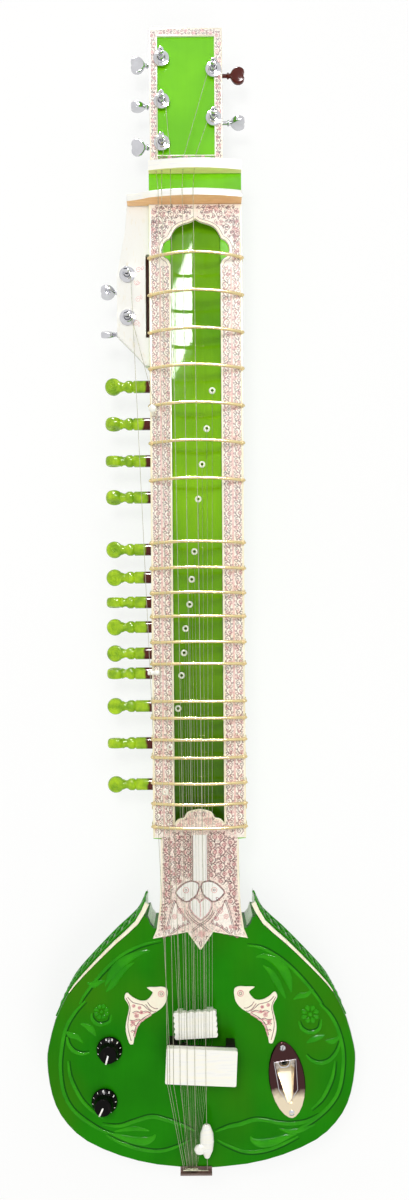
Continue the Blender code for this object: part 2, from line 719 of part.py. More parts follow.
def make_neck(finish):
    """The hollowed neck with its heel, tenon and headstock, cut for pegs, eyelets and tuners."""
    half = NECK_WIDTH / 2
    stations = (
        (HEAD_Y, half, 0.0),
        (at(0.006), half, 0.0),
        (at(0.010), half, NECK_RELIEF),
        (at(NECK_BOTTOM - 0.006), half, NECK_RELIEF),
        (at(NECK_BOTTOM), half, 0.0),
        (at(NECK_BOTTOM + HEEL_STEP), HEEL_WIDTH_TOP / 2, 0.0),
        (JOINT_Y + FIT, HEEL_WIDTH_BOTTOM / 2, 0.0),
    )
    rings = [[(x, y, z) for x, z in neck_section(wide, low, RAIL_Z)] for y, wide, low in stations]
    neck = loft("neck", rings, finish)
    head = box(
        "head",
        (HEAD_LEFT, HEAD_Y - 0.004, HEAD_TOP_Z - HEAD_THICKNESS),
        (HEAD_RIGHT, HEAD_Y + HEAD_LENGTH, HEAD_TOP_Z),
    )
    brace_left = HEAD_POSTS[0][0] + HOUSING_HALF_WIDTH + BRACE_CLEARANCE
    brace_right = HEAD_POSTS[3][0] - HOUSING_HALF_WIDTH - BRACE_CLEARANCE
    board_z = HEAD_TOP_Z - HEAD_THICKNESS
    brace = loft(
        "brace",
        [
            [(brace_left, y, low), (brace_right, y, low), (brace_right, y, top_z), (brace_left, y, top_z)]
            for y, low, top_z in (
                (HEAD_Y - 0.003, 0.006, board_z + 0.009),
                (HEAD_Y + BRACE_LENGTH, board_z + 0.001, board_z + 0.009),
            )
        ],
    )
    wide, long, tall = TENON
    tenon = box(
        "tenon",
        (-wide / 2, JOINT_Y - long, TENON_FLOOR),
        (wide / 2, JOINT_Y + 0.006, TENON_FLOOR + tall),
    )
    neck = combine(neck, [head, brace, tenon], "UNION")
    top = at(-0.002)
    bottom = at(NECK_BOTTOM - 0.010)
    tools = [
        box("channel", (-CHANNEL_WIDTH / 2, bottom, LEDGE_Z), (CHANNEL_WIDTH / 2, top, ABOVE), helper=True),
        box(
            "hollow",
            (-HOLLOW_WIDTH / 2, bottom + 0.006, HOLLOW_FLOOR),
            (HOLLOW_WIDTH / 2, top - 0.006, LEDGE_Z + 0.002),
            helper=True,
        ),
    ]
    for down in PEGS:
        y = at(down)
        tools.append(rod("peg hole", (-NECK_WIDTH, y, PEG_Z), (0.0, y, PEG_Z), PEG_RADIUS + FIT, 10, helper=True))
    for x, down in EYELETS:
        if abs(x) > CHANNEL_WIDTH / 2:
            place = (x, at(down))
            tools.append(
                rod("string hole", (*place, PEG_Z), (*place, ABOVE), EYELET_BORE_RADIUS, 6, helper=True)
            )
    for x, up, _ in HEAD_POSTS:
        y = at(up)
        low, high = (x, y, HEAD_TOP_Z - 2 * HEAD_THICKNESS), (x, y, ABOVE)
        tools.append(rod("bush hole", low, high, BUSH_RADIUS + FIT, 10, helper=True))
    return combine(neck, tools)


def make_fretboard_plate(finish):
    """The dished plate that floors the channel, drilled for the eyelets."""
    half = CHANNEL_WIDTH / 2 - FIT
    top = [(-half, PLATE_LOW + PLATE_EDGE)]
    for i in range(1, 6):
        share = i / 3 - 1
        top.append((half * share, PLATE_LOW + PLATE_EDGE - PLATE_SAG * (1 - share**2)))
    top.append((half, PLATE_LOW + PLATE_EDGE))
    section = [(-half, PLATE_LOW), *top, (half, PLATE_LOW)]
    ends = (at(-0.002) - FIT, at(NECK_BOTTOM - 0.010) + FIT)
    plate = loft("fretboard_plate", [[(x, y, z) for x, z in section] for y in ends], finish)
    flanges, bores = eyelets(on_rail=False)
    return combine(combine(plate, flanges, "UNION"), bores)


def make_neck_overlay(finish):
    """Celluloid on both rails and the arch that joins them, with what is fixed on it.

    The tied frets that stay where they are, two eyelets and the chikari posts are one solid with it.
    """
    half = NECK_WIDTH / 2
    channel = CHANNEL_WIDTH / 2
    top = NUT_Y - LOWER_NUT_THICKNESS / 2 - FIT
    bottom = at(NECK_BOTTOM - 0.001)
    right = [(x, at(down)) for x, down in ARCH]
    right += [(channel, at(ARCH[-1][1])), (channel, bottom), (half, bottom), (half, top)]
    outline = right + [(-x, y) for x, y in reversed(right[1:])]
    overlay = slab("neck_overlay", outline, RAIL_Z + FIT, FRONT_Z, finish)
    flanges, bores = eyelets(on_rail=True)
    seat = FRONT_Z - FRET_SEATING
    frets = [make_fret(i, seat, finish) for i in range(1, len(FRETS) + 1) if i not in MOVABLE_FRETS]
    overlay = combine(overlay, [*flanges, *chikari_posts(), *frets], "UNION")
    return smooth(combine(overlay, bores), 50)


def make_heel_overlay(finish):
    """The engraved plate on the heel, lobed at the channel and pointed on the body."""
    low = FRONT_Z + FIT
    right = [(x, at(down)) for x, down in HEEL_LOBES]
    right += [(x, at(down)) for x, down in HEEL_SIDE]
    right += [(x, at(down)) for x, down in HEEL_POINTS]
    outline = right + [(-x, y) for x, y in reversed(right[1:-1])]
    return slab("heel_overlay", outline, low, low + HEEL_PLATE, finish)


def make_headstock_border(finish):
    """The engraved frame on the headstock, open towards the nut."""
    low = HEAD_Y + FIT
    high = HEAD_Y + HEAD_LENGTH
    b = HEAD_BORDER
    outline = [
        (HEAD_LEFT, low), (HEAD_LEFT + b, low), (HEAD_LEFT + b, high - b), (HEAD_RIGHT - b, high - b),
        (HEAD_RIGHT - b, low), (HEAD_RIGHT, low), (HEAD_RIGHT, high), (HEAD_LEFT, high),
    ]
    border = slab("headstock_border", outline, HEAD_TOP_Z + FIT, HEAD_TOP_Z + FIT + OVERLAY, finish)
    tools = []
    for x, up, _ in HEAD_POSTS:
        y = at(up)
        tools.append(rod("bush hole", (x, y, HEAD_TOP_Z - FIT), (x, y, ABOVE), BUSH_RADIUS + FIT, 10, helper=True))
    return combine(border, tools)


def standing(name, outline, low_y, high_y, finish):
    """An outline in the XZ plane, given its thickness along Y."""
    rings = [[(x, y, z) for x, z in outline] for y in (low_y, high_y)]
    return loft(name, rings, finish)


def crown(half, left, top, rise, steps=6):
    """The arched top of a nut from right to left."""
    points = []
    for i in range(steps + 1):
        share = 1 - 2 * i / steps
        points.append((half * share, top - rise * share**2))
    return [(x, z) for x, z in points if x >= -left]


def nut_hole_z(x):
    """Height of the upper nut's hole for a string at an X."""
    return UPPER_NUT_TOP_Z - NUT_CROWN * (x / (NECK_WIDTH / 2)) ** 2 - NUT_HOLE_DEPTH


def make_nuts(finish):
    """Both nuts; the lower one has an arm to the left over the side plate."""
    half = NECK_WIDTH / 2
    low = FRONT_Z + FIT
    base = RAIL_Z + FIT
    arm_x = -half - LOWER_NUT_ARM
    arm_low = SIDE_PLATE_TOP_Z + FIT
    outline = [(half, base), *crown(half, half, NUT_TOP_Z, NUT_CROWN)]
    outline += [(-half - 0.004, low + 0.010), (arm_x, low + 0.006), (arm_x, arm_low), (-half, arm_low), (-half, base)]
    thick = LOWER_NUT_THICKNESS / 2
    standing("lower_nut", outline, NUT_Y - thick, NUT_Y + thick, finish)
    outline = [(half, base), *crown(half, half, UPPER_NUT_TOP_Z, NUT_CROWN), (-half, base)]
    thick = UPPER_NUT_THICKNESS / 2
    upper = standing("upper_nut", outline, UPPER_NUT_Y - thick, UPPER_NUT_Y + thick, finish)
    holes = []
    for x in MAIN_AT_UPPER_NUT:
        z = nut_hole_z(x)
        ends = (x, UPPER_NUT_Y - 2 * thick, z), (x, UPPER_NUT_Y + 2 * thick, z)
        holes.append(rod("string hole", *ends, NUT_HOLE_RADIUS, 6, helper=True))
    combine(upper, holes)


def make_side_plate(finish):
    """The white plate that carries the chikari machine heads, slotted beside the neck."""
    edge = -NECK_WIDTH / 2 - FIT
    slot_x = edge - SIDE_SLOT_WIDTH
    top = NUT_Y + LOWER_NUT_THICKNESS / 2
    low = top - SIDE_PLATE_LENGTH
    slot_top, slot_low = (at(down) for down in SIDE_SLOT)
    left = SIDE_PLATE_LEFT
    outline = [
        (edge, top), (-NECK_WIDTH / 2 - LOWER_NUT_ARM, top), (left + 0.008, top - 0.030), (left, slot_top - 0.020),
        (left, slot_low + 0.002), (left + 0.014, slot_low - 0.012), (left + 0.022, low + 0.006), (edge - 0.004, low),
        (edge, low), (edge, slot_low), (slot_x, slot_low), (slot_x, slot_top), (edge, slot_top),
    ]
    holes = [circle((x, at(down)), BUSH_RADIUS + FIT, 10) for x, down, _ in SIDE_POSTS]
    low_z = SIDE_PLATE_TOP_Z - SIDE_PLATE_THICKNESS
    return slab("side_tuner_plate", outline, low_z, SIDE_PLATE_TOP_Z, finish, holes)


def tuner_places():
    """Each machine head: post place, board underside and face, side, worm direction, button start."""
    head_low = HEAD_TOP_Z - HEAD_THICKNESS
    face = HEAD_TOP_Z + FIT + OVERLAY
    places = [(x, at(up), head_low, face, side, 1, HEAD_BUTTON_START) for x, up, side in HEAD_POSTS]
    side_low = SIDE_PLATE_TOP_Z - SIDE_PLATE_THICKNESS
    places += [
        (x, at(down), side_low, SIDE_PLATE_TOP_Z, side, -1, SIDE_BUTTON_START) for x, down, side in SIDE_POSTS
    ]
    return places


def make_gear_plate(name, tuners, finish):
    """Machine heads on one plate: hollow gear housings below the board, bushes and washers above."""
    x, _, board, face, side, worm, _ = tuners[0]
    low = board - FIT - HOUSING_DEPTH
    high = board - FIT
    axis_z = low + HOUSING_DEPTH / 2
    wide = HOUSING_HALF_WIDTH
    wall = HOUSING_WALL
    near = GEAR_RADIUS + wall + 2 * FIT
    far = WORM_OFFSET + WORM_RADIUS + wall + 2 * FIT
    below, above = (near, far) if worm > 0 else (far, near)
    lowest = min(tuner[1] for tuner in tuners) - below
    highest = max(tuner[1] for tuner in tuners) + above
    plate_low = (x - wide + FIT, lowest + FIT, high - wall * 0.8)
    plate = box(name, plate_low, (x + wide - FIT, highest - FIT, high - FIT / 2), finish)
    solids = []
    cuts = []
    for _, y, _, _, _, _, _ in tuners:
        solids.append(box("case", (x - wide, y - below, low), (x + wide, y + above, high)))
        profile = (
            (0, face + FIT + WASHER_THICKNESS),
            (BUSH_RADIUS, face + FIT + WASHER_THICKNESS),
            (WASHER_RADIUS, face + FIT + WASHER_THICKNESS * 0.4),
            (WASHER_RADIUS, face + FIT),
            (BUSH_RADIUS, face + FIT),
            (BUSH_RADIUS, high - wall / 2),
            (0, high - wall / 2),
        )
        solids.append(turned("bush", profile, (x, y, 0), (0, 0, 1), 12))
        inside_low = (x - wide + wall, y - below + wall, low + wall)
        inside_high = (x + wide - wall, y + above - wall, high - wall)
        cuts.append(box("inside", inside_low, inside_high, helper=True))
        cuts.append(rod("post bore", (x, y, axis_z), (x, y, ABOVE), POST_RADIUS + FIT, 10, helper=True))
        axis_y = y + worm * WORM_OFFSET
        worm_end = (x + side * 0.02, axis_y, axis_z)
        cuts.append(rod("worm hole", (x, axis_y, axis_z), worm_end, WORM_SHAFT + FIT, 8, helper=True))
    plate = combine(plate, solids, "UNION")
    return smooth(combine(plate, cuts), 30)


def make_tuners(metal, dark):
    """Gear plates with their bushes, posts with their gears, and buttons with their worms."""
    places = tuner_places()
    make_gear_plate("gear_plate_left", places[:3], metal)
    make_gear_plate("gear_plate_right", places[3:5], metal)
    make_gear_plate("gear_plate_side", places[5:], metal)
    for number, (x, y, board, face, side, worm, start) in enumerate(places, 1):
        axis_z = board - FIT - HOUSING_DEPTH / 2
        gear_low = axis_z - GEAR_WIDTH / 2
        gear_high = axis_z + GEAR_WIDTH / 2
        top = face + POST_RISE
        profile = (
            (0, top), (POST_RADIUS * 0.8, top), (POST_RADIUS, top - 0.001), (POST_RADIUS * 0.7, top - 0.006),
            (POST_RADIUS, top - 0.010), (POST_RADIUS, gear_high), (GEAR_RADIUS, gear_high),
            (GEAR_RADIUS, gear_low), (0, gear_low),
        )
        profile = [(radius, height - axis_z) for radius, height in profile]
        smooth(turned(f"tuner_post_{number}", profile, (x, y, axis_z), (0, 0, 1), 10, metal))
        inner = HOUSING_HALF_WIDTH - HOUSING_WALL - FIT
        profile = (
            (0, start + BUTTON_LENGTH),
            (BUTTON_RADIUS * 0.6, start + BUTTON_LENGTH - 0.0006),
            (BUTTON_RADIUS, start + BUTTON_LENGTH * 0.72),
            (BUTTON_RADIUS * 0.94, start + BUTTON_LENGTH * 0.36),
            (BUTTON_RADIUS * 0.40, start),
            (WORM_SHAFT, start - 0.0010),
            (WORM_SHAFT, inner),
            (WORM_RADIUS, inner),
            (WORM_RADIUS, -inner),
            (0, -inner),
        )
        place = (x, y + worm * WORM_OFFSET, axis_z)
        finish = dark if number == 4 else metal
        button = turned(f"tuner_button_{number}", profile, place, (side, 0, 0), 10, finish)
        for vertex in button.data.vertices:
            if vertex.co.z > start - 0.0005:
                vertex.co.x *= BUTTON_FLATNESS
        smooth(button)


def make_pegs(finish):
    """Thirteen tarab pegs, each turned about its own axis and with a flattened head."""
    neck_side = NECK_WIDTH / 2
    for number, (down, turn, (eyelet_x, _)) in enumerate(zip(PEGS, PEG_TURNS, EYELETS), 1):
        reach = -PEG_HEAD_X
        tip = -eyelet_x - 0.0025
        radius = PEG_HEAD_RADIUS
        profile = (
            (0, reach + radius),
            (radius * 0.62, reach + radius * 0.80),
            (radius, reach + radius * 0.1),
            (radius * 0.72, reach - radius * 0.72),
            (PEG_RADIUS * 0.70, reach - radius),
            (PEG_RADIUS * 1.15, reach - radius - 0.0022),
            (PEG_RADIUS, reach - radius - 0.0050),
            (PEG_RADIUS * 0.98, neck_side + 0.001),
            (PEG_TIP_RADIUS, tip),
            (0, tip),
        )
        peg = turned(f"tarab_peg_{number:02d}", profile, (0, at(down), PEG_Z), (-1, 0, 0), 10, finish)
        spin = Matrix.Rotation(math.radians(turn), 4, "Z")
        for vertex in peg.data.vertices:
            if vertex.co.z > reach - radius * 0.9:
                vertex.co.y *= PEG_HEAD_FLATNESS
        peg.data.transform(spin)
        smooth(peg, 40)


def fret_arc(x, seat):
    """Height of a fret's middle line at a place across the neck, for a rail at a height."""
    half = NECK_WIDTH / 2
    radius = (half**2 + FRET_RISE**2) / (2 * FRET_RISE)
    return seat + FRET_RADIUS + math.sqrt(radius**2 - x**2) - (radius - FRET_RISE)


def make_fret(number, seat, finish):
    """One arched rod joined to its tie, which runs round the back of the neck beside it."""
    y = at(FRETS[number - 1])
    reach = NECK_WIDTH / 2 + FRET_OVERHANG
    across = [reach * (i / FRET_SPANS * 2 - 1) for i in range(FRET_SPANS + 1)]
    points = [(x, y, fret_arc(x, seat)) for x in across]
    fret = tube(f"fret_{number:02d}", points, FRET_RADIUS, finish, 1)
    way = -1 if number in TIES_BELOW else 1
    clear = (TIE_RADIUS + FIT) * 1.3
    end_x, _, end_z = points[-1]
    over = (end_x - 0.0012, y, end_z)
    beside = (end_x - 0.0010, y + way * TIE_OFFSET * 0.7, end_z - 0.0012)
    half_tie = [over, beside]
    for x, z in neck_section(NECK_WIDTH / 2, NECK_RELIEF, RAIL_Z - TIE_TOP_DROP)[::-1]:
        if x > 0:
            on_side = x > NECK_WIDTH * 0.40
            out = clear if on_side else clear * 0.4
            drop = 0.0 if z > 0.025 else clear * 0.9
            half_tie.append((x + out, y + way * TIE_OFFSET, max(z - drop, TIE_RADIUS + FIT)))
    left = [(-x, side_y, z) for x, side_y, z in half_tie]
    tie = tube("tie", left + half_tie[::-1], TIE_RADIUS, finish)
    return combine(fret, [tie], "UNION")


def make_movable_frets(finish):
    """The frets that can be slid towards the nut to retune the scale."""
    for number in MOVABLE_FRETS:
        seat = FRONT_Z + FIT
        fret = make_fret(number, seat, finish)
        place = Vector((0, at(FRETS[number - 1]), fret_arc(0, seat)))
        fret.data.transform(Matrix.Translation(-place))
        fret.location = place
        smooth(fret, 50)


def eyelet_seat(x):
    """Height of the surface that an eyelet's flange rests on."""
    if abs(x) > CHANNEL_WIDTH / 2:
        return FRONT_Z
    edge = min((abs(x) + EYELET_RADIUS) / (CHANNEL_WIDTH / 2 - FIT), 1.0)
    return PLATE_LOW + PLATE_EDGE - PLATE_SAG * (1 - edge**2)


def eyelets(on_rail):
    """Flanged bone bushes that lead the tarab strings down to their pegs, and their bores."""
    flanges = []
    bores = []
    for x, down in EYELETS:
        if (abs(x) > CHANNEL_WIDTH / 2) != on_rail:
            continue
        place = (x, at(down), 0)
        seat = eyelet_seat(x)
        top = seat + EYELET_RISE
        low = seat - EYELET_SINK
        profile = ((0, top), (EYELET_TUBE_RADIUS, top), (EYELET_RADIUS, seat), (EYELET_RADIUS, low), (0, low))
        flanges.append(turned("eyelet", profile, place, (0, 0, 1), 8))
        bores.append(rod("bore", (x, place[1], PEG_Z), (x, place[1], ABOVE), EYELET_BORE_RADIUS, 6, helper=True))
    return flanges, bores


def on_left_rail(place):
    """The X and Y of a place given from the neck's left edge and from the nut."""
    inwards, down = place
    return inwards - NECK_WIDTH / 2, at(down)


def chikari_posts():
    """Two bone posts on the left rail that hold the chikari strings off the neck."""
    sunk = -OVERLAY / 2
    tall, short = CHIKARI_POST_RISE
    profile = (
        (0, tall), (CHIKARI_KNOB_RADIUS * 0.7, tall - 0.0010), (CHIKARI_KNOB_RADIUS, tall - 0.0035),
        (CHIKARI_POST_RADIUS, tall - 0.0060), (CHIKARI_POST_RADIUS, sunk), (0, sunk),
    )
    first = turned("post", profile, (*on_left_rail(CHIKARI_POST_1), FRONT_Z), (0, 0, 1), 10)
    x, y = on_left_rail(CHIKARI_POST_2)
    profile = ((0, short), (CHIKARI_POST_RADIUS, short), (CHIKARI_POST_RADIUS, sunk), (0, sunk))
    second = turned("post", profile, (x, y, FRONT_Z), (0, 0, 1), 8)
    low = (x - CHIKARI_BAR_REACH[0], y, FRONT_Z + CHIKARI_BAR_RISE)
    high = (x + CHIKARI_BAR_REACH[1], y, FRONT_Z + CHIKARI_BAR_RISE)
    return [first, second, rod("bar", low, high, CHIKARI_BAR_RADIUS, 8)]


def make_bridges(bone, black):
    """The small and the main jawari, each on its base."""
    x, down = SMALL_BRIDGE
    centre = (x, at(down))
    wide, long, thick = SMALL_JAWARI
    top = STRING_Z_AT_SMALL_BRIDGE - TARAB_RADIUS - FIT
    corners = rounded_rectangle((0, 0), (wide, long), 0.0012, 1)
    outline = turn_in_plan(corners, centre, SMALL_BRIDGE_TURN)
    small = slab("small_jawari", outline, top - thick, top, bone)
    legs = []
    for side in (-1, 1):
        middle = side * (wide / 2 - SMALL_LEG_WIDTH)
        corners = rounded_rectangle((middle, 0), (SMALL_LEG_WIDTH, long * 0.8), 0.001, 1)
        outline = turn_in_plan(corners, centre, SMALL_BRIDGE_TURN)
        legs.append(slab("leg", outline, FRONT_Z + FIT, top - thick + 0.0005))
    combine(small, legs, "UNION")
    x, down = MAIN_BRIDGE
    centre = (x, at(down))
    wide, long, thick = MAIN_JAWARI
    top = STRING_Z_AT_BRIDGE - STRING_RADIUS - FIT
    corners = rounded_rectangle((0, 0), (wide, long), 0.0015, 1)
    slab("main_jawari_plate", turn_in_plan(corners, centre, MAIN_BRIDGE_TURN), top - thick, top, bone)
    beam_high = top - thick - FIT
    corners = rounded_rectangle((0, 0.0015), (wide * 0.97, long * 0.86), 0.0015, 1)
    outline = turn_in_plan(corners, centre, MAIN_BRIDGE_TURN)
    base = slab("main_bridge_base", outline, beam_high - BRIDGE_BEAM, beam_high, black)
    legs = []
    for side in (-1, 1):
        middle = side * (wide * 0.485 - BRIDGE_LEG_WIDTH / 2 - 0.0005)
        corners = rounded_rectangle((middle, 0.0015), (BRIDGE_LEG_WIDTH, long * 0.90), 0.001, 1)
        outline = turn_in_plan(corners, centre, MAIN_BRIDGE_TURN)
        legs.append(slab("leg", outline, FRONT_Z + FIT, beam_high - BRIDGE_BEAM + 0.0005))
    combine(base, legs, "UNION")


def bridge_edges(bridge, size, turn, x):
    """Where a string at an X crosses a bridge's head and tail edges."""
    middle = at(bridge[1]) + (x - bridge[0]) * math.tan(math.radians(turn))
    return middle + size[1] / 2, middle - size[1] / 2


def anchor(name, strings, reach, height, finish):
    """Strings joined at the tail by the round wire that they are looped on."""
    low, high = reach
    wire = rod(name, (low, STRING_END_Y, height), (high, STRING_END_Y, height), ANCHOR_RADIUS, 6, finish)
    return combine(wire, strings, "UNION")


def make_main_strings(finish):
    """Five playing strings from their posts over both nuts, and two chikari strings."""
    strings = []
    places = tuner_places()
    clear = STRING_RADIUS + FIT
    for number, (post, side) in enumerate(MAIN_TO_POST):
        post_x, post_y, _, face, _, _, _ = places[post]
        nut_x = MAIN_AT_NUT[number]
        upper_x = MAIN_AT_UPPER_NUT[number]
        bridge_x = MAIN_AT_BRIDGE[number]
        upper_z = nut_hole_z(upper_x)
        nut_z = NUT_TOP_Z - NUT_CROWN * (nut_x / (NECK_WIDTH / 2)) ** 2 + clear
        head_edge, tail_edge = bridge_edges(MAIN_BRIDGE, MAIN_JAWARI, MAIN_BRIDGE_TURN, bridge_x)
        wound = (post_x + side * (POST_RADIUS + clear), post_y, face + POST_RISE / 2)
        points = [
            wound,
            (upper_x, UPPER_NUT_Y + UPPER_NUT_THICKNESS / 2, upper_z),
            (upper_x, UPPER_NUT_Y - UPPER_NUT_THICKNESS / 2, upper_z),
            (nut_x, NUT_Y + LOWER_NUT_THICKNESS / 2, nut_z + 0.0002),
            (nut_x, NUT_Y - LOWER_NUT_THICKNESS / 2, nut_z + 0.0002),
            (bridge_x, head_edge, STRING_Z_AT_BRIDGE + 0.0001),
            (bridge_x, tail_edge, STRING_Z_AT_BRIDGE + 0.0001),
            (MAIN_AT_TAIL[number], STRING_END_Y, TAIL_STRING_Z),
        ]
        strings.append(tube("string", points, STRING_RADIUS, finish))
    for number, (post_x, post_y, _, face, side, _, _) in enumerate(places[5:]):
        bridge_x = CHIKARI_AT_BRIDGE[number]
        head_edge, tail_edge = bridge_edges(MAIN_BRIDGE, MAIN_JAWARI, MAIN_BRIDGE_TURN, bridge_x)
        wound = (post_x - side * (POST_RADIUS + clear), post_y, face + POST_RISE / 2)
        if number == 0:
            x, y = on_left_rail(CHIKARI_POST_2)
            rest = (x - CHIKARI_BAR_REACH[0] * 0.6, y, FRONT_Z + CHIKARI_BAR_RISE + CHIKARI_BAR_RADIUS + clear)
        else:
            x, y = on_left_rail(CHIKARI_POST_1)
            rest = (x + CHIKARI_POST_RADIUS + clear + FIT, y, FRONT_Z + CHIKARI_POST_RISE[0] * 0.65)
        points = [
            wound,
            rest,
            (bridge_x, head_edge, STRING_Z_AT_BRIDGE + 0.0001),
            (bridge_x, tail_edge, STRING_Z_AT_BRIDGE + 0.0001),
            (CHIKARI_AT_TAIL[number], STRING_END_Y, TAIL_STRING_Z),
        ]
        strings.append(tube("string", points, STRING_RADIUS, finish))
    return anchor("strings_main", strings, (-0.0180, 0.0060), TAIL_STRING_Z, finish)


def make_tarab_strings(finish):
    """Thirteen strings from their pegs up through the eyelets, over the small jawari, to the tail."""
    strings = []
    middle = (len(EYELETS) - 1) / 2
    for number, ((x, down), peg_down) in enumerate(zip(EYELETS, PEGS)):
        share = middle - number
        bridge_x = SMALL_BRIDGE[0] + share * TARAB_SPACING
        head_edge, tail_edge = bridge_edges(SMALL_BRIDGE, SMALL_JAWARI, SMALL_BRIDGE_TURN, bridge_x)
        peg_top = PEG_Z + PEG_RADIUS + TARAB_RADIUS + 2 * FIT
        points = [
            (x, at(down), peg_top),
            (x, at(down), eyelet_seat(x) + EYELET_RISE + TARAB_RADIUS + FIT),
            (bridge_x, head_edge, STRING_Z_AT_SMALL_BRIDGE),
            (bridge_x, tail_edge, STRING_Z_AT_SMALL_BRIDGE),
            (TARAB_TAIL_X + share * TARAB_TAIL_SPACING, STRING_END_Y, TARAB_TAIL_Z),
        ]
        strings.append(tube("string", points, TARAB_RADIUS, finish))
    return anchor("strings_sympathetic", strings, (-0.0155, -0.0038), TARAB_TAIL_Z, finish)


def make_knobs(finish):
    """Two skirted knobs, each with its pot's shaft."""
    for name, (x, down) in zip(("volume_knob", "tone_knob"), KNOBS):
        low = KNOB_LIFT
        profile = (
            (0, low + KNOB_HEIGHT), (KNOB_TOP_RADIUS * 0.93, low + KNOB_HEIGHT),
            (KNOB_TOP_RADIUS, low + KNOB_HEIGHT - 0.0010), (KNOB_TOP_RADIUS * 1.1, low + 0.0050),
            (KNOB_RADIUS, low + 0.0022), (KNOB_RADIUS, low), (POT_SHAFT_RADIUS, low),
            (POT_SHAFT_RADIUS, -TOP_PLATE_THICKNESS), (0, -TOP_PLATE_THICKNESS),
        )
        smooth(turned(name, profile, (x, at(down), FRONT_Z), (0, 0, 1), 16, finish))


def jack_screw_places():
    """The jack plate's two screws, one near each end."""
    half = JACK_SIZE[1] / 2 - JACK_SCREW_INSET
    return turn_in_plan([(0, half), (0, -half)], JACK_PLACE, JACK_TURN)


def make_jack_plate(finish):
    """The boat-shaped plate with its sunk cup and the hole for the socket."""
    half_x, half_y = JACK_SIZE[0] / 2, JACK_SIZE[1] / 2
    outline = []
    for i in range(24):
        angle = math.tau * i / 24
        y = half_y * math.sin(angle)
        width = half_x * abs(math.cos(angle)) ** 1.15
        outline.append((math.copysign(width, math.cos(angle)) if abs(math.cos(angle)) > 1e-6 else 0.0, y))
    low = FRONT_Z + FIT
    rings = []
    for by, z in ((0.0, low), (0.0, low + JACK_PLATE * 0.5), (0.0008, low + JACK_PLATE)):
        rings.append([(x, y, z) for x, y in turn_in_plan(shrink(outline, by), JACK_PLACE, JACK_TURN)])
    plate = loft("jack_plate", rings, finish)
    floor = FRONT_Z - JACK_CUP_DEPTH
    outer = loft("cup", cup_rings(0.0, low + 0.0004, floor))
    plate = combine(plate, [outer], "UNION")
    x, y = SOCKET_PLACE
    rings = cup_rings(-JACK_WALL, low + JACK_PLATE + 0.004, floor + JACK_WALL)
    tools = [
        loft("cup inside", rings, helper=True),
        rod("socket hole", (x, y, floor - 0.01), (x, y, floor + 0.01), SOCKET_RADIUS + FIT, 12, helper=True),
    ]
    plate = combine(plate, tools)
    screws = []
    for x, y in jack_screw_places():
        top = low + JACK_PLATE
        profile = (
            (0, 0.0012), (JACK_SCREW_HEAD * 0.8, 0.0008), (JACK_SCREW_HEAD, -0.0003), (JACK_SCREW_SHANK, -0.0003),
            (JACK_SCREW_SHANK, -JACK_SCREW_LENGTH), (0, -JACK_SCREW_LENGTH),
        )
        screws.append(turned("screw", profile, (x, y, top), (0, 0, 1), 8))
    return smooth(combine(plate, screws, "UNION"), 30)


def make_harness(metal):
    """Pot bodies, the jack socket, the piezo disc under the bridge and the leads between them."""
    high = BODY_CORE_TOP
    pots = []
    for x, down in KNOBS:
        profile = ((0, high), (POT_RADIUS, high), (POT_RADIUS, high - POT_HEIGHT), (0, high - POT_HEIGHT))
        pots.append(turned("wired_harness", profile, (x, at(down), 0), (0, 0, 1), 10, metal))
    first, second = pots
    x, y = SOCKET_PLACE
    floor = FRONT_Z - JACK_CUP_DEPTH
    low = floor - SOCKET_LENGTH
    profile = ((0, floor + JACK_WALL), (SOCKET_RADIUS, floor + JACK_WALL), (SOCKET_RADIUS, low), (0, low))
    socket = turned("socket", profile, (x, y, 0), (0, 0, 1), 12)
    hole_x, hole_y = BRIDGE_WIRE_HOLE
    (first_x, first_down), (second_x, second_down) = KNOBS
    pot_low = high - POT_HEIGHT
    middle_x = CAVITY_CENTRE[0]
    leads = [
        [
            (first_x, at(first_down), pot_low + 0.002),
            (first_x, at(first_down), TUNNEL_Z + 0.004),
            (second_x, at(second_down), TUNNEL_Z + 0.004),
            (second_x, at(second_down), pot_low + 0.002),
        ],
        [
            (middle_x, at(first_down) * 0.5 + at(second_down) * 0.5, TUNNEL_Z + 0.004),
            (middle_x + 0.008, y, TUNNEL_Z),
            (x, y, TUNNEL_Z),
        ],
        [(hole_x, y, TUNNEL_Z), (hole_x, hole_y, LEAD_BEND_Z), (hole_x, hole_y, FRONT_Z + FIT + PIEZO[1] / 2)],
    ]
    piezo_low = FRONT_Z + FIT
    piezo = rod("piezo", (hole_x, hole_y, piezo_low), (hole_x, hole_y, piezo_low + PIEZO[1]), PIEZO[0], 12)
    wires = [tube("lead", points, LEAD_RADIUS) for points in leads]
    harness = combine(first, [second, *wires, socket, piezo], "UNION")
    bore = rod("bore", (x, y, low - 0.001), (x, y, floor + 0.01), SOCKET_BORE_RADIUS, 10, helper=True)
    return combine(harness, [bore])


def bead_frame():
    """The bead's place on its string and the string's direction there."""
    number = 4
    x = MAIN_AT_BRIDGE[number]
    _, tail_edge = bridge_edges(MAIN_BRIDGE, MAIN_JAWARI, MAIN_BRIDGE_TURN, x)
    high = Vector((x, tail_edge, STRING_Z_AT_BRIDGE + 0.0001))
    low = Vector((MAIN_AT_TAIL[number], STRING_END_Y, TAIL_STRING_Z))
    share = (high.y - at(BEAD_Y)) / (high.y - low.y)
    return high.lerp(low, share), (high - low).normalized()


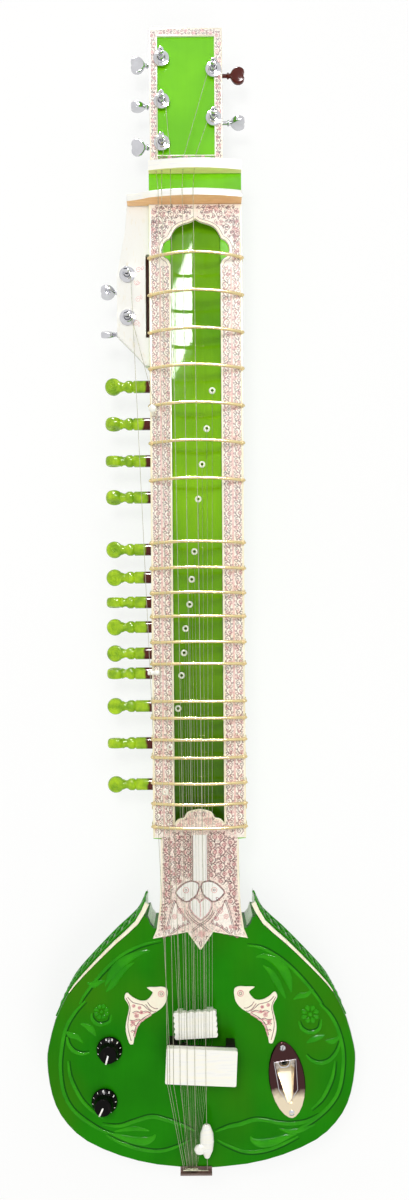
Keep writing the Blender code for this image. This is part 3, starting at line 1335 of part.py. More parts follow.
def make_bead(finish):
    """The tuning bead: a flattened swan-like drop with a round breast, bored for its string.

    The breast lies to the left and stands proud of the strings beside it.
    """
    place, along = bead_frame()
    half = BEAD_LENGTH / 2
    profile = (
        (0, half), (BEAD_WIDTH * 0.26, half * 0.88), (BEAD_WIDTH * 0.46, half * 0.45),
        (BEAD_WIDTH * 0.50, 0.0), (BEAD_WIDTH * 0.42, -half * 0.5), (BEAD_WIDTH * 0.18, -half * 0.92), (0, -half),
    )
    bead = turned("swan_bead", profile, (0, 0, 0), (0, 0, 1), 12, finish)
    for vertex in bead.data.vertices:
        vertex.co.y *= BEAD_THICKNESS / BEAD_WIDTH
    r = BREAST_RADIUS
    profile = ((0, r), (r * 0.75, r * 0.70), (r, 0.0), (r * 0.75, -r * 0.70), (0, -r))
    breast = turned("breast", profile, BREAST_PLACE, (0, 0, 1), 8)
    for vertex in breast.data.vertices:
        vertex.co.y *= 0.55
    bead = combine(bead, [breast], "UNION")
    bead = combine(bead, [rod("bore", (0, 0, -half * 1.2), (0, 0, half * 1.2), BEAD_BORE_RADIUS, 8, helper=True)])
    up = Vector((0, 0, 1))
    side = along.cross(up).normalized()
    normal = side.cross(along).normalized()
    turn = Matrix((side, -normal, along)).transposed().to_4x4()
    bead.matrix_world = Matrix.Translation(place) @ turn
    return smooth(bead, 50)


def make_tailpiece(finish):
    """A metal strip on the tail edge with a lip under the string ends and small hooks."""
    wide, thick = TAIL_PLATE
    left = TAIL_MIDDLE - wide / 2
    right = TAIL_MIDDLE + wide / 2
    y = TAIL_Y - FIT
    low = FRONT_Z + FIT
    plate = box("tailpiece", (left, y - thick, TAIL_PLATE_LOW), (right, y, TAIL_STRING_Z + 0.0012), finish)
    lip = box("lip", (left, y - thick / 2, low), (right, y + TAIL_LIP[0], low + TAIL_LIP[1]))
    hooks = [lip]
    for i in range(5):
        x = TAIL_MIDDLE + wide * (i / 4 - 0.5) * 0.8
        z = TAIL_PLATE_LOW + 0.026
        hooks.append(rod("hook", (x, y - thick * 0.5, z), (x, y - thick - 0.0016, z), TAIL_HOOK_RADIUS, 6))
    return combine(plate, hooks, "UNION")


def make_birds(finish):
    """Two thin celluloid birds let on to the front plate, one each side of the small jawari."""
    for name, side in (("bird_left", 1), ("bird_right", -1)):
        head = (-side * BIRD_HEAD[0], at(BIRD_HEAD[1]))
        line = smooth_line([*BIRD, BIRD[0]], BIRD_STEPS)[:-1]
        outline = [(head[0] + side * x, head[1] + y) for x, y in line]
        slab(name, outline, FRONT_Z + FIT, FRONT_Z + FIT + INLAY_THICKNESS, finish)


def build():
    """Models the whole instrument."""
    for thing in list(bpy.data.objects):
        bpy.data.objects.remove(thing)
    for name in ("Electric sitar", "Cutters"):
        bpy.context.scene.collection.children.link(bpy.data.collections.new(name))
    green = material("green lacquer", (0.02, 0.23, 0.01), 0.15)
    bright_green = material("bright green lacquer", (0.17, 0.63, 0.02), 0.15)
    peg_green = material("peg lacquer", (0.22, 0.45, 0.04), 0.25)
    celluloid = material("engraved celluloid", (0.66, 0.44, 0.38), 0.35)
    bone = material("bone", (0.95, 0.92, 0.72), 0.35)
    brass = material("fret brass", (0.80, 0.68, 0.40), 0.25, 1.0)
    steel = material("steel", (0.70, 0.70, 0.70), 0.2, 1.0)
    chrome = material("chrome", (0.80, 0.80, 0.82), 0.08, 1.0)
    black = material("black plastic", (0.01, 0.01, 0.01), 0.3)
    ebony = material("black wood", (0.02, 0.01, 0.01), 0.5)
    maroon = material("dark button plastic", (0.12, 0.02, 0.02), 0.3)
    white = material("white plastic", (0.92, 0.92, 0.88), 0.35)
    make_body(green)
    make_top_plate(green)
    make_binding(bone)
    make_control_cover(black)
    make_neck(green)
    make_fretboard_plate(bright_green)
    make_neck_overlay(celluloid)
    make_heel_overlay(celluloid)
    make_headstock_border(celluloid)
    make_birds(celluloid)
    make_nuts(bone)
    make_side_plate(white)
    make_tuners(chrome, maroon)
    make_pegs(peg_green)
    make_movable_frets(brass)
    make_bridges(bone, ebony)
    make_main_strings(steel)
    make_tarab_strings(steel)
    make_knobs(black)
    make_jack_plate(chrome)
    make_harness(steel)
    make_bead(bone)
    make_tailpiece(steel)


build()
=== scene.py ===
"""The looks of a green electric sitar with engraved celluloid, dressed over its fixed CAD frame.

Lengths are millimetres in the sub-assemblies, and metres in the studio and in the finishes' edges.
"""

import json
import logging
import math
from collections.abc import Callable, Iterator
from contextlib import contextmanager
from dataclasses import dataclass, field
from enum import Enum
from functools import cache
from itertools import product
from typing import ClassVar

import bmesh
import bpy
from bpy.types import Material, MeshPolygon, NodeSocket, Object, ShaderNode, World
from mathutils import Matrix, Vector

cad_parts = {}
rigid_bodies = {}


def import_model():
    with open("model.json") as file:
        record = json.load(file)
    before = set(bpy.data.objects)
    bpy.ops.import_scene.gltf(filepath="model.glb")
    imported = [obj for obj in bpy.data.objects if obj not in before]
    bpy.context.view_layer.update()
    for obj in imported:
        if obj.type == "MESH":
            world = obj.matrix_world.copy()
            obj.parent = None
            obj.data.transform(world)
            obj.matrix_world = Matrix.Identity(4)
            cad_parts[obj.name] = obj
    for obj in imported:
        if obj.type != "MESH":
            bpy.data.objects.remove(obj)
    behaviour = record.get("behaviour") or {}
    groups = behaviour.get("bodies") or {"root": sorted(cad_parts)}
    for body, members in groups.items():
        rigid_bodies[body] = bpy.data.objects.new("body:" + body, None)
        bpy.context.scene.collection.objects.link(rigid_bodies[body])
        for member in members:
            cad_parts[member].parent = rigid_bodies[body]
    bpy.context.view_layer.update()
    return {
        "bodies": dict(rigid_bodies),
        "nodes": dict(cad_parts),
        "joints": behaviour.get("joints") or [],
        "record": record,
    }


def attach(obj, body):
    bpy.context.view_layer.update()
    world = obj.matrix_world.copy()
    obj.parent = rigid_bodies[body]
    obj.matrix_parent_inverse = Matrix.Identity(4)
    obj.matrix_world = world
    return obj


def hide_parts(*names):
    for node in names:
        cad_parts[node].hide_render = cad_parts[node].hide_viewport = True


LOG = logging.getLogger("sitar")
BODY = "instrument"
MM = 0.001
SWING = 0.016
Place = tuple[float, float]
Point = tuple[float, float, float]
Plan = list[Place]
Rows = tuple[tuple[float, ...], ...]


class Ink(Enum):
    """Colours that are met on the instrument, as sRGB hex."""

    BODY_GREEN = "#1f8406"
    BODY_SHADE = "#0f5c02"
    BODY_OLIVE = "#3f7c08"
    # A lighter green than the body, painted as the sheen that the raised carving catches.
    RAISED_GREEN = "#339e08"
    # A dark green painted as the shadow in the carved grooves.
    GROOVE_GREEN = "#0b5202"
    BRIGHT_GREEN = "#80dc10"
    BRIGHT_SHADE = "#58b00c"
    CHANNEL_GREEN = "#86c010"
    CHANNEL_SHADE = "#41860c"
    CHANNEL_DEEP = "#335c04"
    PEG_GREEN = "#b2d624"
    PEG_SHADE = "#68991a"
    MAROON = "#5a1a12"
    CELLULOID = "#fffaee"
    CELLULOID_PINK = "#f6d6c6"
    HEEL_PALE = "#fff3e4"
    HEEL_PINK = "#f3c8bc"
    ETCH_PINK = "#cf8588"
    ETCH_GREY = "#43352f"
    ETCH_DARK = "#3c2c30"
    CREAM = "#faf5dc"
    CREAM_SHADE = "#e3cf95"
    TAN = "#f3c487"
    TAN_SHADE = "#dda066"
    PALE = "#fff6b8"
    BRASS = "#e2d09c"
    SILVER = "#e4e4e6"
    WIRE = "#b9b8a0"
    TARNISH = "#7d6c66"
    # A dark tone painted on the jack plate as its reflection.
    SMOKE = "#43292a"
    SLOT_BROWN = "#3a1a0c"
    CHROME = "#d3d3d7"
    CHAMPAGNE = "#e9dabd"
    BLACK = "#030202"
    EBONY = "#150d0b"
    WHITE = "#f4f3ec"
    PAPER = "#ffffff"


def linear(ink: Ink) -> tuple[float, float, float, float]:
    """Turns a colour written in sRGB into the linear values that shaders use.

    Args:
        ink: A named colour.

    Returns:
        Red, green, blue and a full alpha.
    """
    shares = [int(ink.value[i : i + 2], 16) / 255 for i in (1, 3, 5)]
    return (*(c / 12.92 if c <= 0.04045 else ((c + 0.055) / 1.055) ** 2.4 for c in shares), 1)


class Tree:
    """The nodes of a material or of the world while it is being built."""

    def __init__(self, block: Material | World) -> None:
        """Opens a block's nodes, with the shader that it starts with.

        Args:
            block: The material or the world.
        """
        self.block = block
        block.use_nodes = True
        self.nodes = block.node_tree.nodes
        self.shader = self.nodes.get("Principled BSDF") or self.nodes["Background"]
        self.place = self.add("TexCoord").outputs["Object"]

    def feed(self, socket: NodeSocket, value: object) -> None:
        """Gives a socket what it needs.

        Args:
            socket: The socket.
            value: Another socket to join it to, a named colour or a constant.
        """
        if isinstance(value, NodeSocket):
            self.block.node_tree.links.new(value, socket)
        else:
            socket.default_value = linear(value) if isinstance(value, Ink) else value

    def add(self, kind: str, inputs: dict | None = None, **settings: object) -> ShaderNode:
        """Adds a node.

        Args:
            kind: The node's type, without its first part.
            inputs: What its sockets get.
            **settings: Values of the node's own settings.

        Returns:
            The new node.
        """
        node = self.nodes.new(f"ShaderNode{kind}")
        for key, value in settings.items():
            setattr(node, key, value)
        for key, value in (inputs or {}).items():
            self.feed(node.inputs[key], value)
        return node

    def set(self, **values: object) -> None:
        """Feeds the shader's own sockets, with _ for each space in a name."""
        for key, value in values.items():
            self.feed(self.shader.inputs[key.replace("_", " ")], value)

    def mapping(self, scale: Point, turn: float = 0.0) -> NodeSocket:
        """Stretches the pattern's space.

        Args:
            scale: How much closer the pattern lies along each axis.
            turn: Degrees that it turns about Z.

        Returns:
            The stretched coordinates.
        """
        inputs = {"Scale": scale, "Rotation": (0, 0, math.radians(turn)), "Vector": self.place}
        return self.add("Mapping", inputs).outputs["Vector"]

    def noise(self, size: float, detail: float = 3.0, place: NodeSocket | None = None,
              distortion: float = 0.0) -> NodeSocket:
        """Cloudy noise.

        Args:
            size: How many millimetres its patches are across.
            detail: How many finer layers there are.
            place: Coordinates, the object's own by default.
            distortion: How much the patches swirl.

        Returns:
            The noise, from 0 to 1.
        """
        inputs = {"Scale": 1 / (size * MM), "Detail": detail, "Distortion": distortion}
        inputs["Vector"] = place or self.place
        return self.add("TexNoise", inputs).outputs["Fac"]

    def pores(self, size: float) -> NodeSocket:
        """Distances in a cell pattern.

        Args:
            size: How many millimetres its cells are across.

        Returns:
            The distance from the nearest cell's point.
        """
        return self.add("TexVoronoi", {"Scale": 1 / (size * MM), "Vector": self.place}).outputs["Distance"]

    def along(self, axis: str, start: float, end: float, swing: NodeSocket | float = 0.5,
              most: float = 0.995) -> NodeSocket:
        """Share of the way between two places.

        Args:
            axis: The axis that is followed.
            start: Where the share is 0.
            end: Where it is greatest.
            swing: A noise that makes the border uneven.
            most: The greatest share.

        Returns:
            The share.
        """
        split = self.add("SeparateXYZ", {"Vector": self.place})
        uneven = self.add("Math", {0: swing, 1: SWING, 2: split.outputs[axis]}, operation="MULTIPLY_ADD")
        step = {"Value": uneven.outputs[0], "From Min": start, "From Max": end, "To Max": most}
        return self.add("MapRange", step).outputs["Result"]

    def ramp(self, value: NodeSocket, *stops: tuple[float, float]) -> NodeSocket:
        """Turns a value into greys.

        Args:
            value: What is turned.
            *stops: Two places from 0 to 1, each with a grey level.

        Returns:
            The grey.
        """
        node = self.add("ValToRGB", {"Fac": value})
        for step, (where, level) in zip(node.color_ramp.elements, stops):
            step.position = where
            step.color = (level, level, level, 1)
        return node.outputs["Color"]

    def mix(self, share: NodeSocket | float, first: object, second: object,
            blend: str = "MIX") -> NodeSocket:
        """Mixes two colours.

        Args:
            share: How much of the second there is.
            first: A socket or a named colour.
            second: A socket or a named colour.
            blend: How they are mixed.

        Returns:
            The mixed colour.
        """
        inputs = {0: share, 6: first, 7: second}
        return self.add("Mix", inputs, data_type="RGBA", blend_type=blend).outputs[2]

    def bump(self, height: NodeSocket, depth: float, strength: float = 1.0) -> None:
        """Gives the shader a fine relief on top of any it has.

        Args:
            height: The relief, from 0 to 1.
            depth: How many millimetres deep it is.
            strength: How strongly it shows.
        """
        node = self.add("Bump", {"Distance": depth * MM, "Strength": strength, "Height": height})
        if self.shader.inputs["Normal"].links:
            self.feed(node.inputs["Normal"], self.shader.inputs["Normal"].links[0].from_socket)
        self.set(Normal=node.outputs["Normal"])


@dataclass(frozen=True)
class Lacquer:
    """Glossy clear lacquer in two tones over wood, with faint grain and polishing marks."""

    name: str
    slot: str
    light: Ink
    shade: Ink
    patch: float = 60.0
    depth: float = 0.45
    coat: float = 1.0
    third: Ink | None = None
    gloss: float = 0.15
    coat_ior: float = 1.35
    ripple: float = 0.03
    fade: tuple[float, float] | None = None

    @cache
    def make(self) -> Material:
        """Builds the material.

        Returns:
            The material.
        """
        tree = Tree(bpy.data.materials.new(self.name))
        grain = tree.noise(3, 4, tree.mapping((1, 0.06, 1)))
        cloud = tree.noise(self.patch, 3)
        tone = tree.mix(tree.ramp(cloud, (0.3, self.depth), (0.66, 0)), self.light, self.shade)
        # Towards the body the tone darkens along Y to the third colour: partly painted shade, partly the
        # lacquer's own deeper tone.
        if self.fade:
            tone = tree.mix(tree.along("Y", *self.fade), tone, self.third)
        elif self.third:
            patch = tree.noise(self.patch * 1.6, 2, tree.mapping((1, 0.7, 1), 40))
            tone = tree.mix(tree.ramp(patch, (0.5, 0), (0.72, 0.7)), tone, self.third)
        tone = tree.mix(tree.ramp(grain, (0.45, 0), (0.8, 0.1)), tone, self.shade)
        rough = tree.ramp(tree.noise(9, 5), (0.3, 0.1), (0.8, 0.2))
        tree.set(Base_Color=tone, Roughness=rough, Coat_Weight=self.coat, Coat_Roughness=0.04,
                 Coat_IOR=self.coat_ior, Specular_IOR_Level=self.gloss)
        tree.bump(grain, 0.05, 0.35)
        tree.bump(tree.noise(14, 2), 0.25, 0.25)
        tree.bump(tree.noise(1.8, 3), self.ripple, 0.3)
        return tree.block


@dataclass(frozen=True)
class StainedLacquer:
    """Peg lacquer over turned wood, with a dark stain on the end that enters the neck."""

    name: str
    slot: str
    light: Ink
    shade: Ink
    stain: Ink
    edge: tuple[float, float] = (-0.0433, -0.0413)

    @cache
    def make(self) -> Material:
        """Builds the material.

        Returns:
            The material.
        """
        tree = Tree(bpy.data.materials.new(self.name))
        rings = tree.noise(2.2, 4, tree.mapping((1, 0.2, 0.2)))
        cloud = tree.noise(9, 3)
        tone = tree.mix(tree.ramp(cloud, (0.35, 0), (0.7, 0.8)), self.light, self.shade)
        tone = tree.mix(tree.ramp(rings, (0.45, 0), (0.75, 0.35)), tone, self.shade)
        tone = tree.mix(tree.along("X", *self.edge, tree.noise(30, 3), 1), tone, self.stain)
        rough = tree.ramp(tree.noise(4, 4), (0.3, 0.14), (0.8, 0.3))
        tree.set(Base_Color=tone, Roughness=rough, Coat_Weight=0.5, Coat_Roughness=0.05, Coat_IOR=1.4,
                 Specular_IOR_Level=0.08)
        tree.bump(rings, 0.05, 0.4)
        return tree.block


@dataclass(frozen=True)
class Celluloid:
    """Milky celluloid with a faint marbled body and hair-fine scraper marks."""

    name: str
    body: Ink
    cloud: Ink
    share: float = 0.7
    fleck: float = 0.0
    slot: str = "engraved_celluloid"

    @cache
    def make(self) -> Material:
        """Builds the material.

        Returns:
            The material.
        """
        tree = Tree(bpy.data.materials.new(self.name))
        swirl = tree.noise(7, 4, distortion=1.2)
        tone = tree.mix(tree.ramp(swirl, (0.35, 0), (0.75, self.share)), self.body, self.cloud)
        speck = tree.ramp(tree.noise(1.1, 3), (0.6, 0), (0.72, 0.35))
        tone = tree.mix(speck, tone, self.cloud)
        if self.fleck:
            cut = tree.ramp(tree.noise(1.5, 4, distortion=0.8), (0.5, 0), (0.56, self.fleck))
            tone = tree.mix(cut, tone, Ink.ETCH_GREY)
        marks = tree.noise(1.6, 3, tree.mapping((1, 0.08, 1), 18))
        rough = tree.ramp(marks, (0.3, 0.22), (0.8, 0.42))
        tree.set(Base_Color=tone, Roughness=rough, Coat_Weight=0.25, Coat_Roughness=0.08,
                 Specular_IOR_Level=0.2)
        tree.bump(marks, 0.03, 0.3)
        return tree.block


@dataclass(frozen=True)
class Bone:
    """Polished bone: cream, streaked along its length, darker in its pores."""

    name: str
    light: Ink
    shade: Ink
    stretch: Point = (0.12, 1, 1)
    slot: str = "bone"

    @cache
    def make(self) -> Material:
        """Builds the material.

        Returns:
            The material.
        """
        tree = Tree(bpy.data.materials.new(self.name))
        streak = tree.noise(2.4, 4, tree.mapping(self.stretch))
        tone = tree.mix(tree.ramp(streak, (0.42, 0), (0.8, 0.75)), self.light, self.shade)
        tone = tree.mix(tree.ramp(tree.pores(0.9), (0.05, 0.5), (0.16, 0)), tone, self.shade)
        rough = tree.ramp(streak, (0.3, 0.24), (0.8, 0.4))
        tree.set(Base_Color=tone, Roughness=rough, Coat_Weight=0.3, Coat_Roughness=0.1)
        tree.bump(streak, 0.04, 0.4)
        return tree.block


@dataclass(frozen=True)
class Metal:
    """Bare or plated metal with its own brushing or polishing marks."""

    name: str
    slot: str
    colour: Ink
    low: float
    high: float
    brush: Point = (1, 1, 1)
    mark: float = 1.5

    @cache
    def make(self) -> Material:
        """Builds the material.

        Returns:
            The material.
        """
        tree = Tree(bpy.data.materials.new(self.name))
        marks = tree.noise(self.mark, 4, tree.mapping(self.brush))
        cloud = tree.ramp(tree.noise(11, 3), (0.3, 0.86), (0.7, 1))
        tone = tree.mix(1, self.colour, cloud, "MULTIPLY")
        rough = tree.ramp(marks, (0.3, self.low), (0.75, self.high))
        tree.set(Base_Color=tone, Roughness=rough, Metallic=1)
        tree.bump(marks, 0.02, 0.25)
        return tree.block


@dataclass(frozen=True)
class ReflectionPaintedPlate:
    """Bright plating with a painted dark reflection over its upper part."""

    name: str
    slot: str
    bright: Ink
    dark_reflection: Ink
    edge: tuple[float, float] = (-0.465, -0.457)

    @cache
    def make(self) -> Material:
        """Builds the material.

        Returns:
            The material.
        """
        tree = Tree(bpy.data.materials.new(self.name))
        # Painted reflection: past the edge along Y, the bright plating turns to the dark reflected tone.
        tone = tree.mix(tree.along("Y", *self.edge, tree.noise(16, 3)), self.bright, self.dark_reflection)
        marks = tree.noise(1.5, 4)
        tree.set(Base_Color=tone, Roughness=tree.ramp(marks, (0.3, 0.06), (0.75, 0.16)), Metallic=1)
        tree.bump(marks, 0.02, 0.2)
        return tree.block


@dataclass(frozen=True)
class Plastic:
    """Moulded plastic with a fine orange-peel skin and small scuffs."""

    name: str
    slot: str
    colour: Ink
    scuffed: Ink
    rough: float = 0.25
    coat: float = 0.2

    @cache
    def make(self) -> Material:
        """Builds the material.

        Returns:
            The material.
        """
        tree = Tree(bpy.data.materials.new(self.name))
        scuff = tree.ramp(tree.noise(2.2, 5, tree.mapping((1, 0.3, 1), 31)), (0.58, 0), (0.74, 0.3))
        skin = tree.noise(0.8, 2)
        rough = tree.ramp(skin, (0.2, self.rough * 0.8), (0.8, self.rough * 1.3))
        tone = tree.mix(scuff, self.colour, self.scuffed)
        tree.set(Base_Color=tone, Roughness=rough, Coat_Weight=self.coat, Coat_Roughness=0.1, Coat_IOR=1.35,
                 Specular_IOR_Level=0.08)
        tree.bump(skin, 0.02, 0.3)
        return tree.block


@dataclass(frozen=True)
class EtchFill:
    """Coloured wax rubbed into engraved lines, uneven along its run."""

    name: str
    colour: Ink
    faded: Ink
    slot: str = "engraved_celluloid"

    @cache
    def make(self) -> Material:
        """Builds the material.

        Returns:
            The material.
        """
        tree = Tree(bpy.data.materials.new(self.name))
        fade = tree.ramp(tree.noise(2.6, 4), (0.38, 0), (0.7, 0.75))
        rough = tree.ramp(tree.noise(1, 2), (0.3, 0.4), (0.7, 0.65))
        tree.set(Base_Color=tree.mix(fade, self.colour, self.faded), Roughness=rough)
        return tree.block


def pick(*pieces: Object) -> None:
    """Leaves some pieces alone selected.

    Args:
        *pieces: The pieces, the first of which becomes active.
    """
    if bpy.context.object and bpy.context.object.mode != "OBJECT":
        bpy.ops.object.mode_set(mode="OBJECT")
    bpy.ops.object.select_all(action="DESELECT")
    for piece in pieces:
        piece.select_set(True)
    bpy.context.view_layer.objects.active = pieces[0] if pieces else None


@contextmanager
def editing(piece: Object) -> Iterator[None]:
    """Opens a piece for editing with all of it selected, and closes it again.

    Args:
        piece: The piece, alone selected.

    Yields:
        Nothing, while it is open.
    """
    bpy.context.view_layer.objects.active = piece
    bpy.ops.object.mode_set(mode="EDIT")
    bpy.ops.mesh.select_all(action="SELECT")
    yield
    bpy.ops.object.mode_set(mode="OBJECT")


def shift(x: float, y: float, z: float = 0.0) -> Matrix:
    """A move by so many millimetres."""
    return Matrix.Translation((x * MM, y * MM, z * MM))


def spin(degrees: float, axis: str = "Z") -> Matrix:
    """A turn about an axis."""
    return Matrix.Rotation(math.radians(degrees), 4, axis)


def sided(side: int) -> Matrix:
    """Swaps left and right where the side is minus one."""
    return Matrix.Scale(side, 4, (1, 0, 0))


def apply(piece: Object, kind: str, **settings: object) -> None:
    """Adds a modifier and applies it.

    Args:
        piece: The piece.
        kind: The modifier's type.
        **settings: The modifier's settings.
    """
    pick(piece)
    modifier = piece.modifiers.new(kind.title(), kind)
    for key, value in settings.items():
        setattr(modifier, key, value)
    bpy.ops.object.modifier_apply(modifier=modifier.name)


def shade(piece: Object, angle: float = 35) -> Object:
    """Shades a piece smooth across edges flatter than an angle.

    Args:
        piece: The piece.
        angle: The angle in degrees.

    Returns:
        The same piece.
    """
    pick(piece)
    bpy.ops.object.shade_smooth_by_angle(angle=math.radians(angle))
    return piece


def move(piece: Object, change: Matrix) -> Object:
    """Moves a piece's points and leaves its object at the origin.

    Args:
        piece: The piece.
        change: How its points are moved.

    Returns:
        The same piece.
    """
    piece.data.transform(change)
    if change.determinant() < 0:
        piece.data.flip_normals()
    piece.data.update()
    return piece


def tint(piece: Object, material: Material, chosen: Callable) -> None:
    """Gives some faces of a dressed piece another material.

    Args:
        piece: The piece.
        material: The other material.
        chosen: Tells whether a face gets it.
    """
    piece.data.materials.append(material)
    for face in piece.data.polygons:
        if chosen(face):
            face.material_index = len(piece.data.materials) - 1


def carve(piece: Object, tool: Object) -> None:
    """Cuts one piece out of another and removes the cutter.

    Args:
        piece: What is cut.
        tool: The cutter.
    """
    apply(piece, "BOOLEAN", object=tool, operation="DIFFERENCE", solver="EXACT")
    bpy.data.objects.remove(tool)


def join(name: str, pieces: list[Object]) -> Object:
    """Joins pieces into one and names it.

    Args:
        name: The piece's name.
        pieces: What is joined.

    Returns:
        The joined piece.
    """
    pick(*pieces)
    if len(pieces) > 1:
        bpy.ops.object.join()
    pieces[0].name = name
    return pieces[0]


def copy_of(piece: Object, change: Matrix) -> Object:
    """Copies a piece with its own mesh, moved within that mesh.

    Args:
        piece: The piece.
        change: How the copy's points are moved.

    Returns:
        The copy.
    """
    twin = piece.copy()
    twin.data = piece.data.copy()
    bpy.context.scene.collection.objects.link(twin)
    return move(twin, change)


def lathe(name: str, profile: Plan | Rows, steps: int = 32) -> Object:
    """Turns a profile about Z: a small square is merged to a point, drawn out along it and spun.

    Args:
        name: The piece's name.
        profile: Radii and heights from the lowest point up.
        steps: How many facets go round.

    Returns:
        The turned piece, about the origin.
    """
    pick()
    bpy.ops.mesh.primitive_plane_add(size=MM)
    piece = bpy.context.object
    piece.name = name
    with editing(piece):
        bpy.ops.mesh.merge(type="CENTER")
        body = bmesh.from_edit_mesh(piece.data)
        body.verts.ensure_lookup_table()
        body.verts[0].co = (profile[0][0] * MM, 0, profile[0][1] * MM)
        bmesh.update_edit_mesh(piece.data)
        for (radius, height), (before, under) in zip(profile[1:], profile):
            step = ((radius - before) * MM, 0, (height - under) * MM)
            bpy.ops.mesh.extrude_region_move(TRANSFORM_OT_translate={"value": step})
        bpy.ops.mesh.select_all(action="SELECT")
        bpy.ops.mesh.spin(steps=steps, angle=math.tau, center=(0, 0, 0), axis=(0, 0, 1))
        bpy.ops.mesh.select_all(action="SELECT")
        bpy.ops.mesh.remove_doubles(threshold=1e-6)
        bpy.ops.mesh.normals_make_consistent(inside=False)
    return piece


def cut_out(name: str, outline: Plan, low: float, high: float, ease: float = 0.0) -> Object:
    """Cuts a flat shape out of a sheet: a filled circle laid on the outline and drawn up.

    Args:
        name: The piece's name.
        outline: Points in plan.
        low: Height of its underside.
        high: Height of its top.
        ease: Width of the eased top edge.

    Returns:
        The piece.
    """
    pick()
    bpy.ops.mesh.primitive_circle_add(vertices=len(outline), radius=MM, fill_type="NGON")
    piece = bpy.context.object
    piece.name = name
    for vertex, (x, y) in zip(piece.data.vertices, outline):
        vertex.co = (x * MM, y * MM, low * MM)
    with editing(piece):
        bpy.ops.mesh.extrude_region_move(TRANSFORM_OT_translate={"value": (0, 0, (high - low) * MM)})
        bpy.ops.mesh.select_all(action="SELECT")
        bpy.ops.mesh.normals_make_consistent(inside=False)
        if ease:
            body = bmesh.from_edit_mesh(piece.data)
            for edge in body.edges:
                edge.select_set(all(v.co.z > high * MM - 1e-6 for v in edge.verts))
            bmesh.update_edit_mesh(piece.data)
            bpy.ops.mesh.bevel(offset=ease * MM, segments=2, affect="EDGES", clamp_overlap=True)
    return piece


def block(name: str, low: Point, high: Point, ease: float) -> Object:
    """A block between two corners with eased edges.

    Args:
        name: The piece's name.
        low: Its lowest corner.
        high: Its highest corner.
        ease: Width of the eased edges.

    Returns:
        The piece.
    """
    pick()
    centre = [(a + b) / 2 * MM for a, b in zip(low, high)]
    bpy.ops.mesh.primitive_cube_add(size=1, location=centre, scale=[(b - a) * MM for a, b in zip(low, high)])
    piece = bpy.context.object
    piece.name = name
    bpy.ops.object.transform_apply(location=True, rotation=True, scale=True)
    with editing(piece):
        bpy.ops.mesh.bevel(offset=ease * MM, segments=2, affect="EDGES", clamp_overlap=True)
    return piece


def wire(name: str, runs: list[list[tuple[float, ...]]], radius: float, sides: int = 1, flat: float = 1.0,
         height: float = 0.0) -> Object:
    """Round wires along runs of points, flattened towards a height where asked.

    Args:
        name: The piece's name.
        runs: The points of each wire, each with a share of the radius as a fourth value if it differs.
        radius: The wire's radius.
        sides: How round it is: the bevel's resolution.
        flat: How much of its height stays.
        height: The height that it is flattened towards.

    Returns:
        The piece.
    """
    pick()
    bpy.ops.curve.primitive_nurbs_path_add()
    piece = bpy.context.object
    piece.name = name
    data = piece.data
    data.splines.clear()
    data.bevel_depth = radius * MM
    data.bevel_resolution = sides
    data.use_fill_caps = True
    for run in runs:
        spline = data.splines.new("POLY")
        spline.points.add(len(run) - 1)
        for point, (x, y, z, *share) in zip(spline.points, run):
            point.co = (x * MM, y * MM, z * MM, 1)
            point.radius = share[0] if share else 1
    bpy.ops.object.convert(target="MESH")
    piece = bpy.context.object
    if flat < 1:
        move(piece, shift(0, 0, height) @ Matrix.Diagonal((1, 1, flat, 1)) @ shift(0, 0, -height))
    with editing(piece):
        bpy.ops.mesh.remove_doubles(threshold=1e-7)
        bpy.ops.mesh.normals_make_consistent(inside=False)
    return shade(piece, 60)


class Assembly:
    """A sub-assembly, with the CAD frame that all of them share."""

    frame: ClassVar[dict] = {}

    def refine(self, node: str, maker: object, angle: float = 35, ease: float = 0.0,
               body: str = BODY, soften: float = 0.0) -> Object:
        """Stands a welded, smoothly shaded copy in for a CAD node.

        Args:
            node: The node's name.
            maker: The finish.
            angle: Edges flatter than this are smoothed.
            ease: Width of the eased edges.
            body: The body that it rides on.
            soften: Grain of a remesh that rounds the whole piece over, none at zero.

        Returns:
            The copy.
        """
        source = self.frame["nodes"][node]
        piece = copy_of(source, Matrix())
        piece.parent = None
        piece.matrix_world = source.matrix_world
        piece.name = f"{node}_dressed"
        pick(piece)
        bpy.ops.object.transform_apply(location=True, rotation=True, scale=True)
        with editing(piece):
            bpy.ops.mesh.remove_doubles(threshold=2e-6)
            bpy.ops.mesh.dissolve_limited(angle_limit=math.radians(0.6))
        if piece.data.has_custom_normals:
            bpy.ops.mesh.customdata_custom_splitnormals_clear()
        if ease:
            apply(piece, "BEVEL", width=ease * MM, segments=2, limit_method="ANGLE",
                  angle_limit=math.radians(angle), use_clamp_overlap=True, harden_normals=False)
        if soften:
            apply(piece, "REMESH", mode="VOXEL", voxel_size=soften * MM)
            apply(piece, "SMOOTH", factor=0.5, iterations=12)
        shade(piece, angle)
        apply(piece, "WEIGHTED_NORMAL", keep_sharp=True, weight=80)
        return self.place(piece, maker, body, node)

    def place(self, piece: Object, maker: object, body: str = BODY, *nodes: str) -> Object:
        """Dresses a piece, rides it on its body and lets it stand for CAD nodes.

        Args:
            piece: The piece.
            maker: The finish.
            body: The body that it rides on.
            *nodes: The CAD nodes that it stands for.

        Returns:
            The piece.
        """
        piece.data.materials.clear()
        piece.data.materials.append(maker.make())
        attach(piece, body)
        if nodes:
            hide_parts(*nodes)
        LOG.info("made %s on %s", piece.name, body)
        return piece


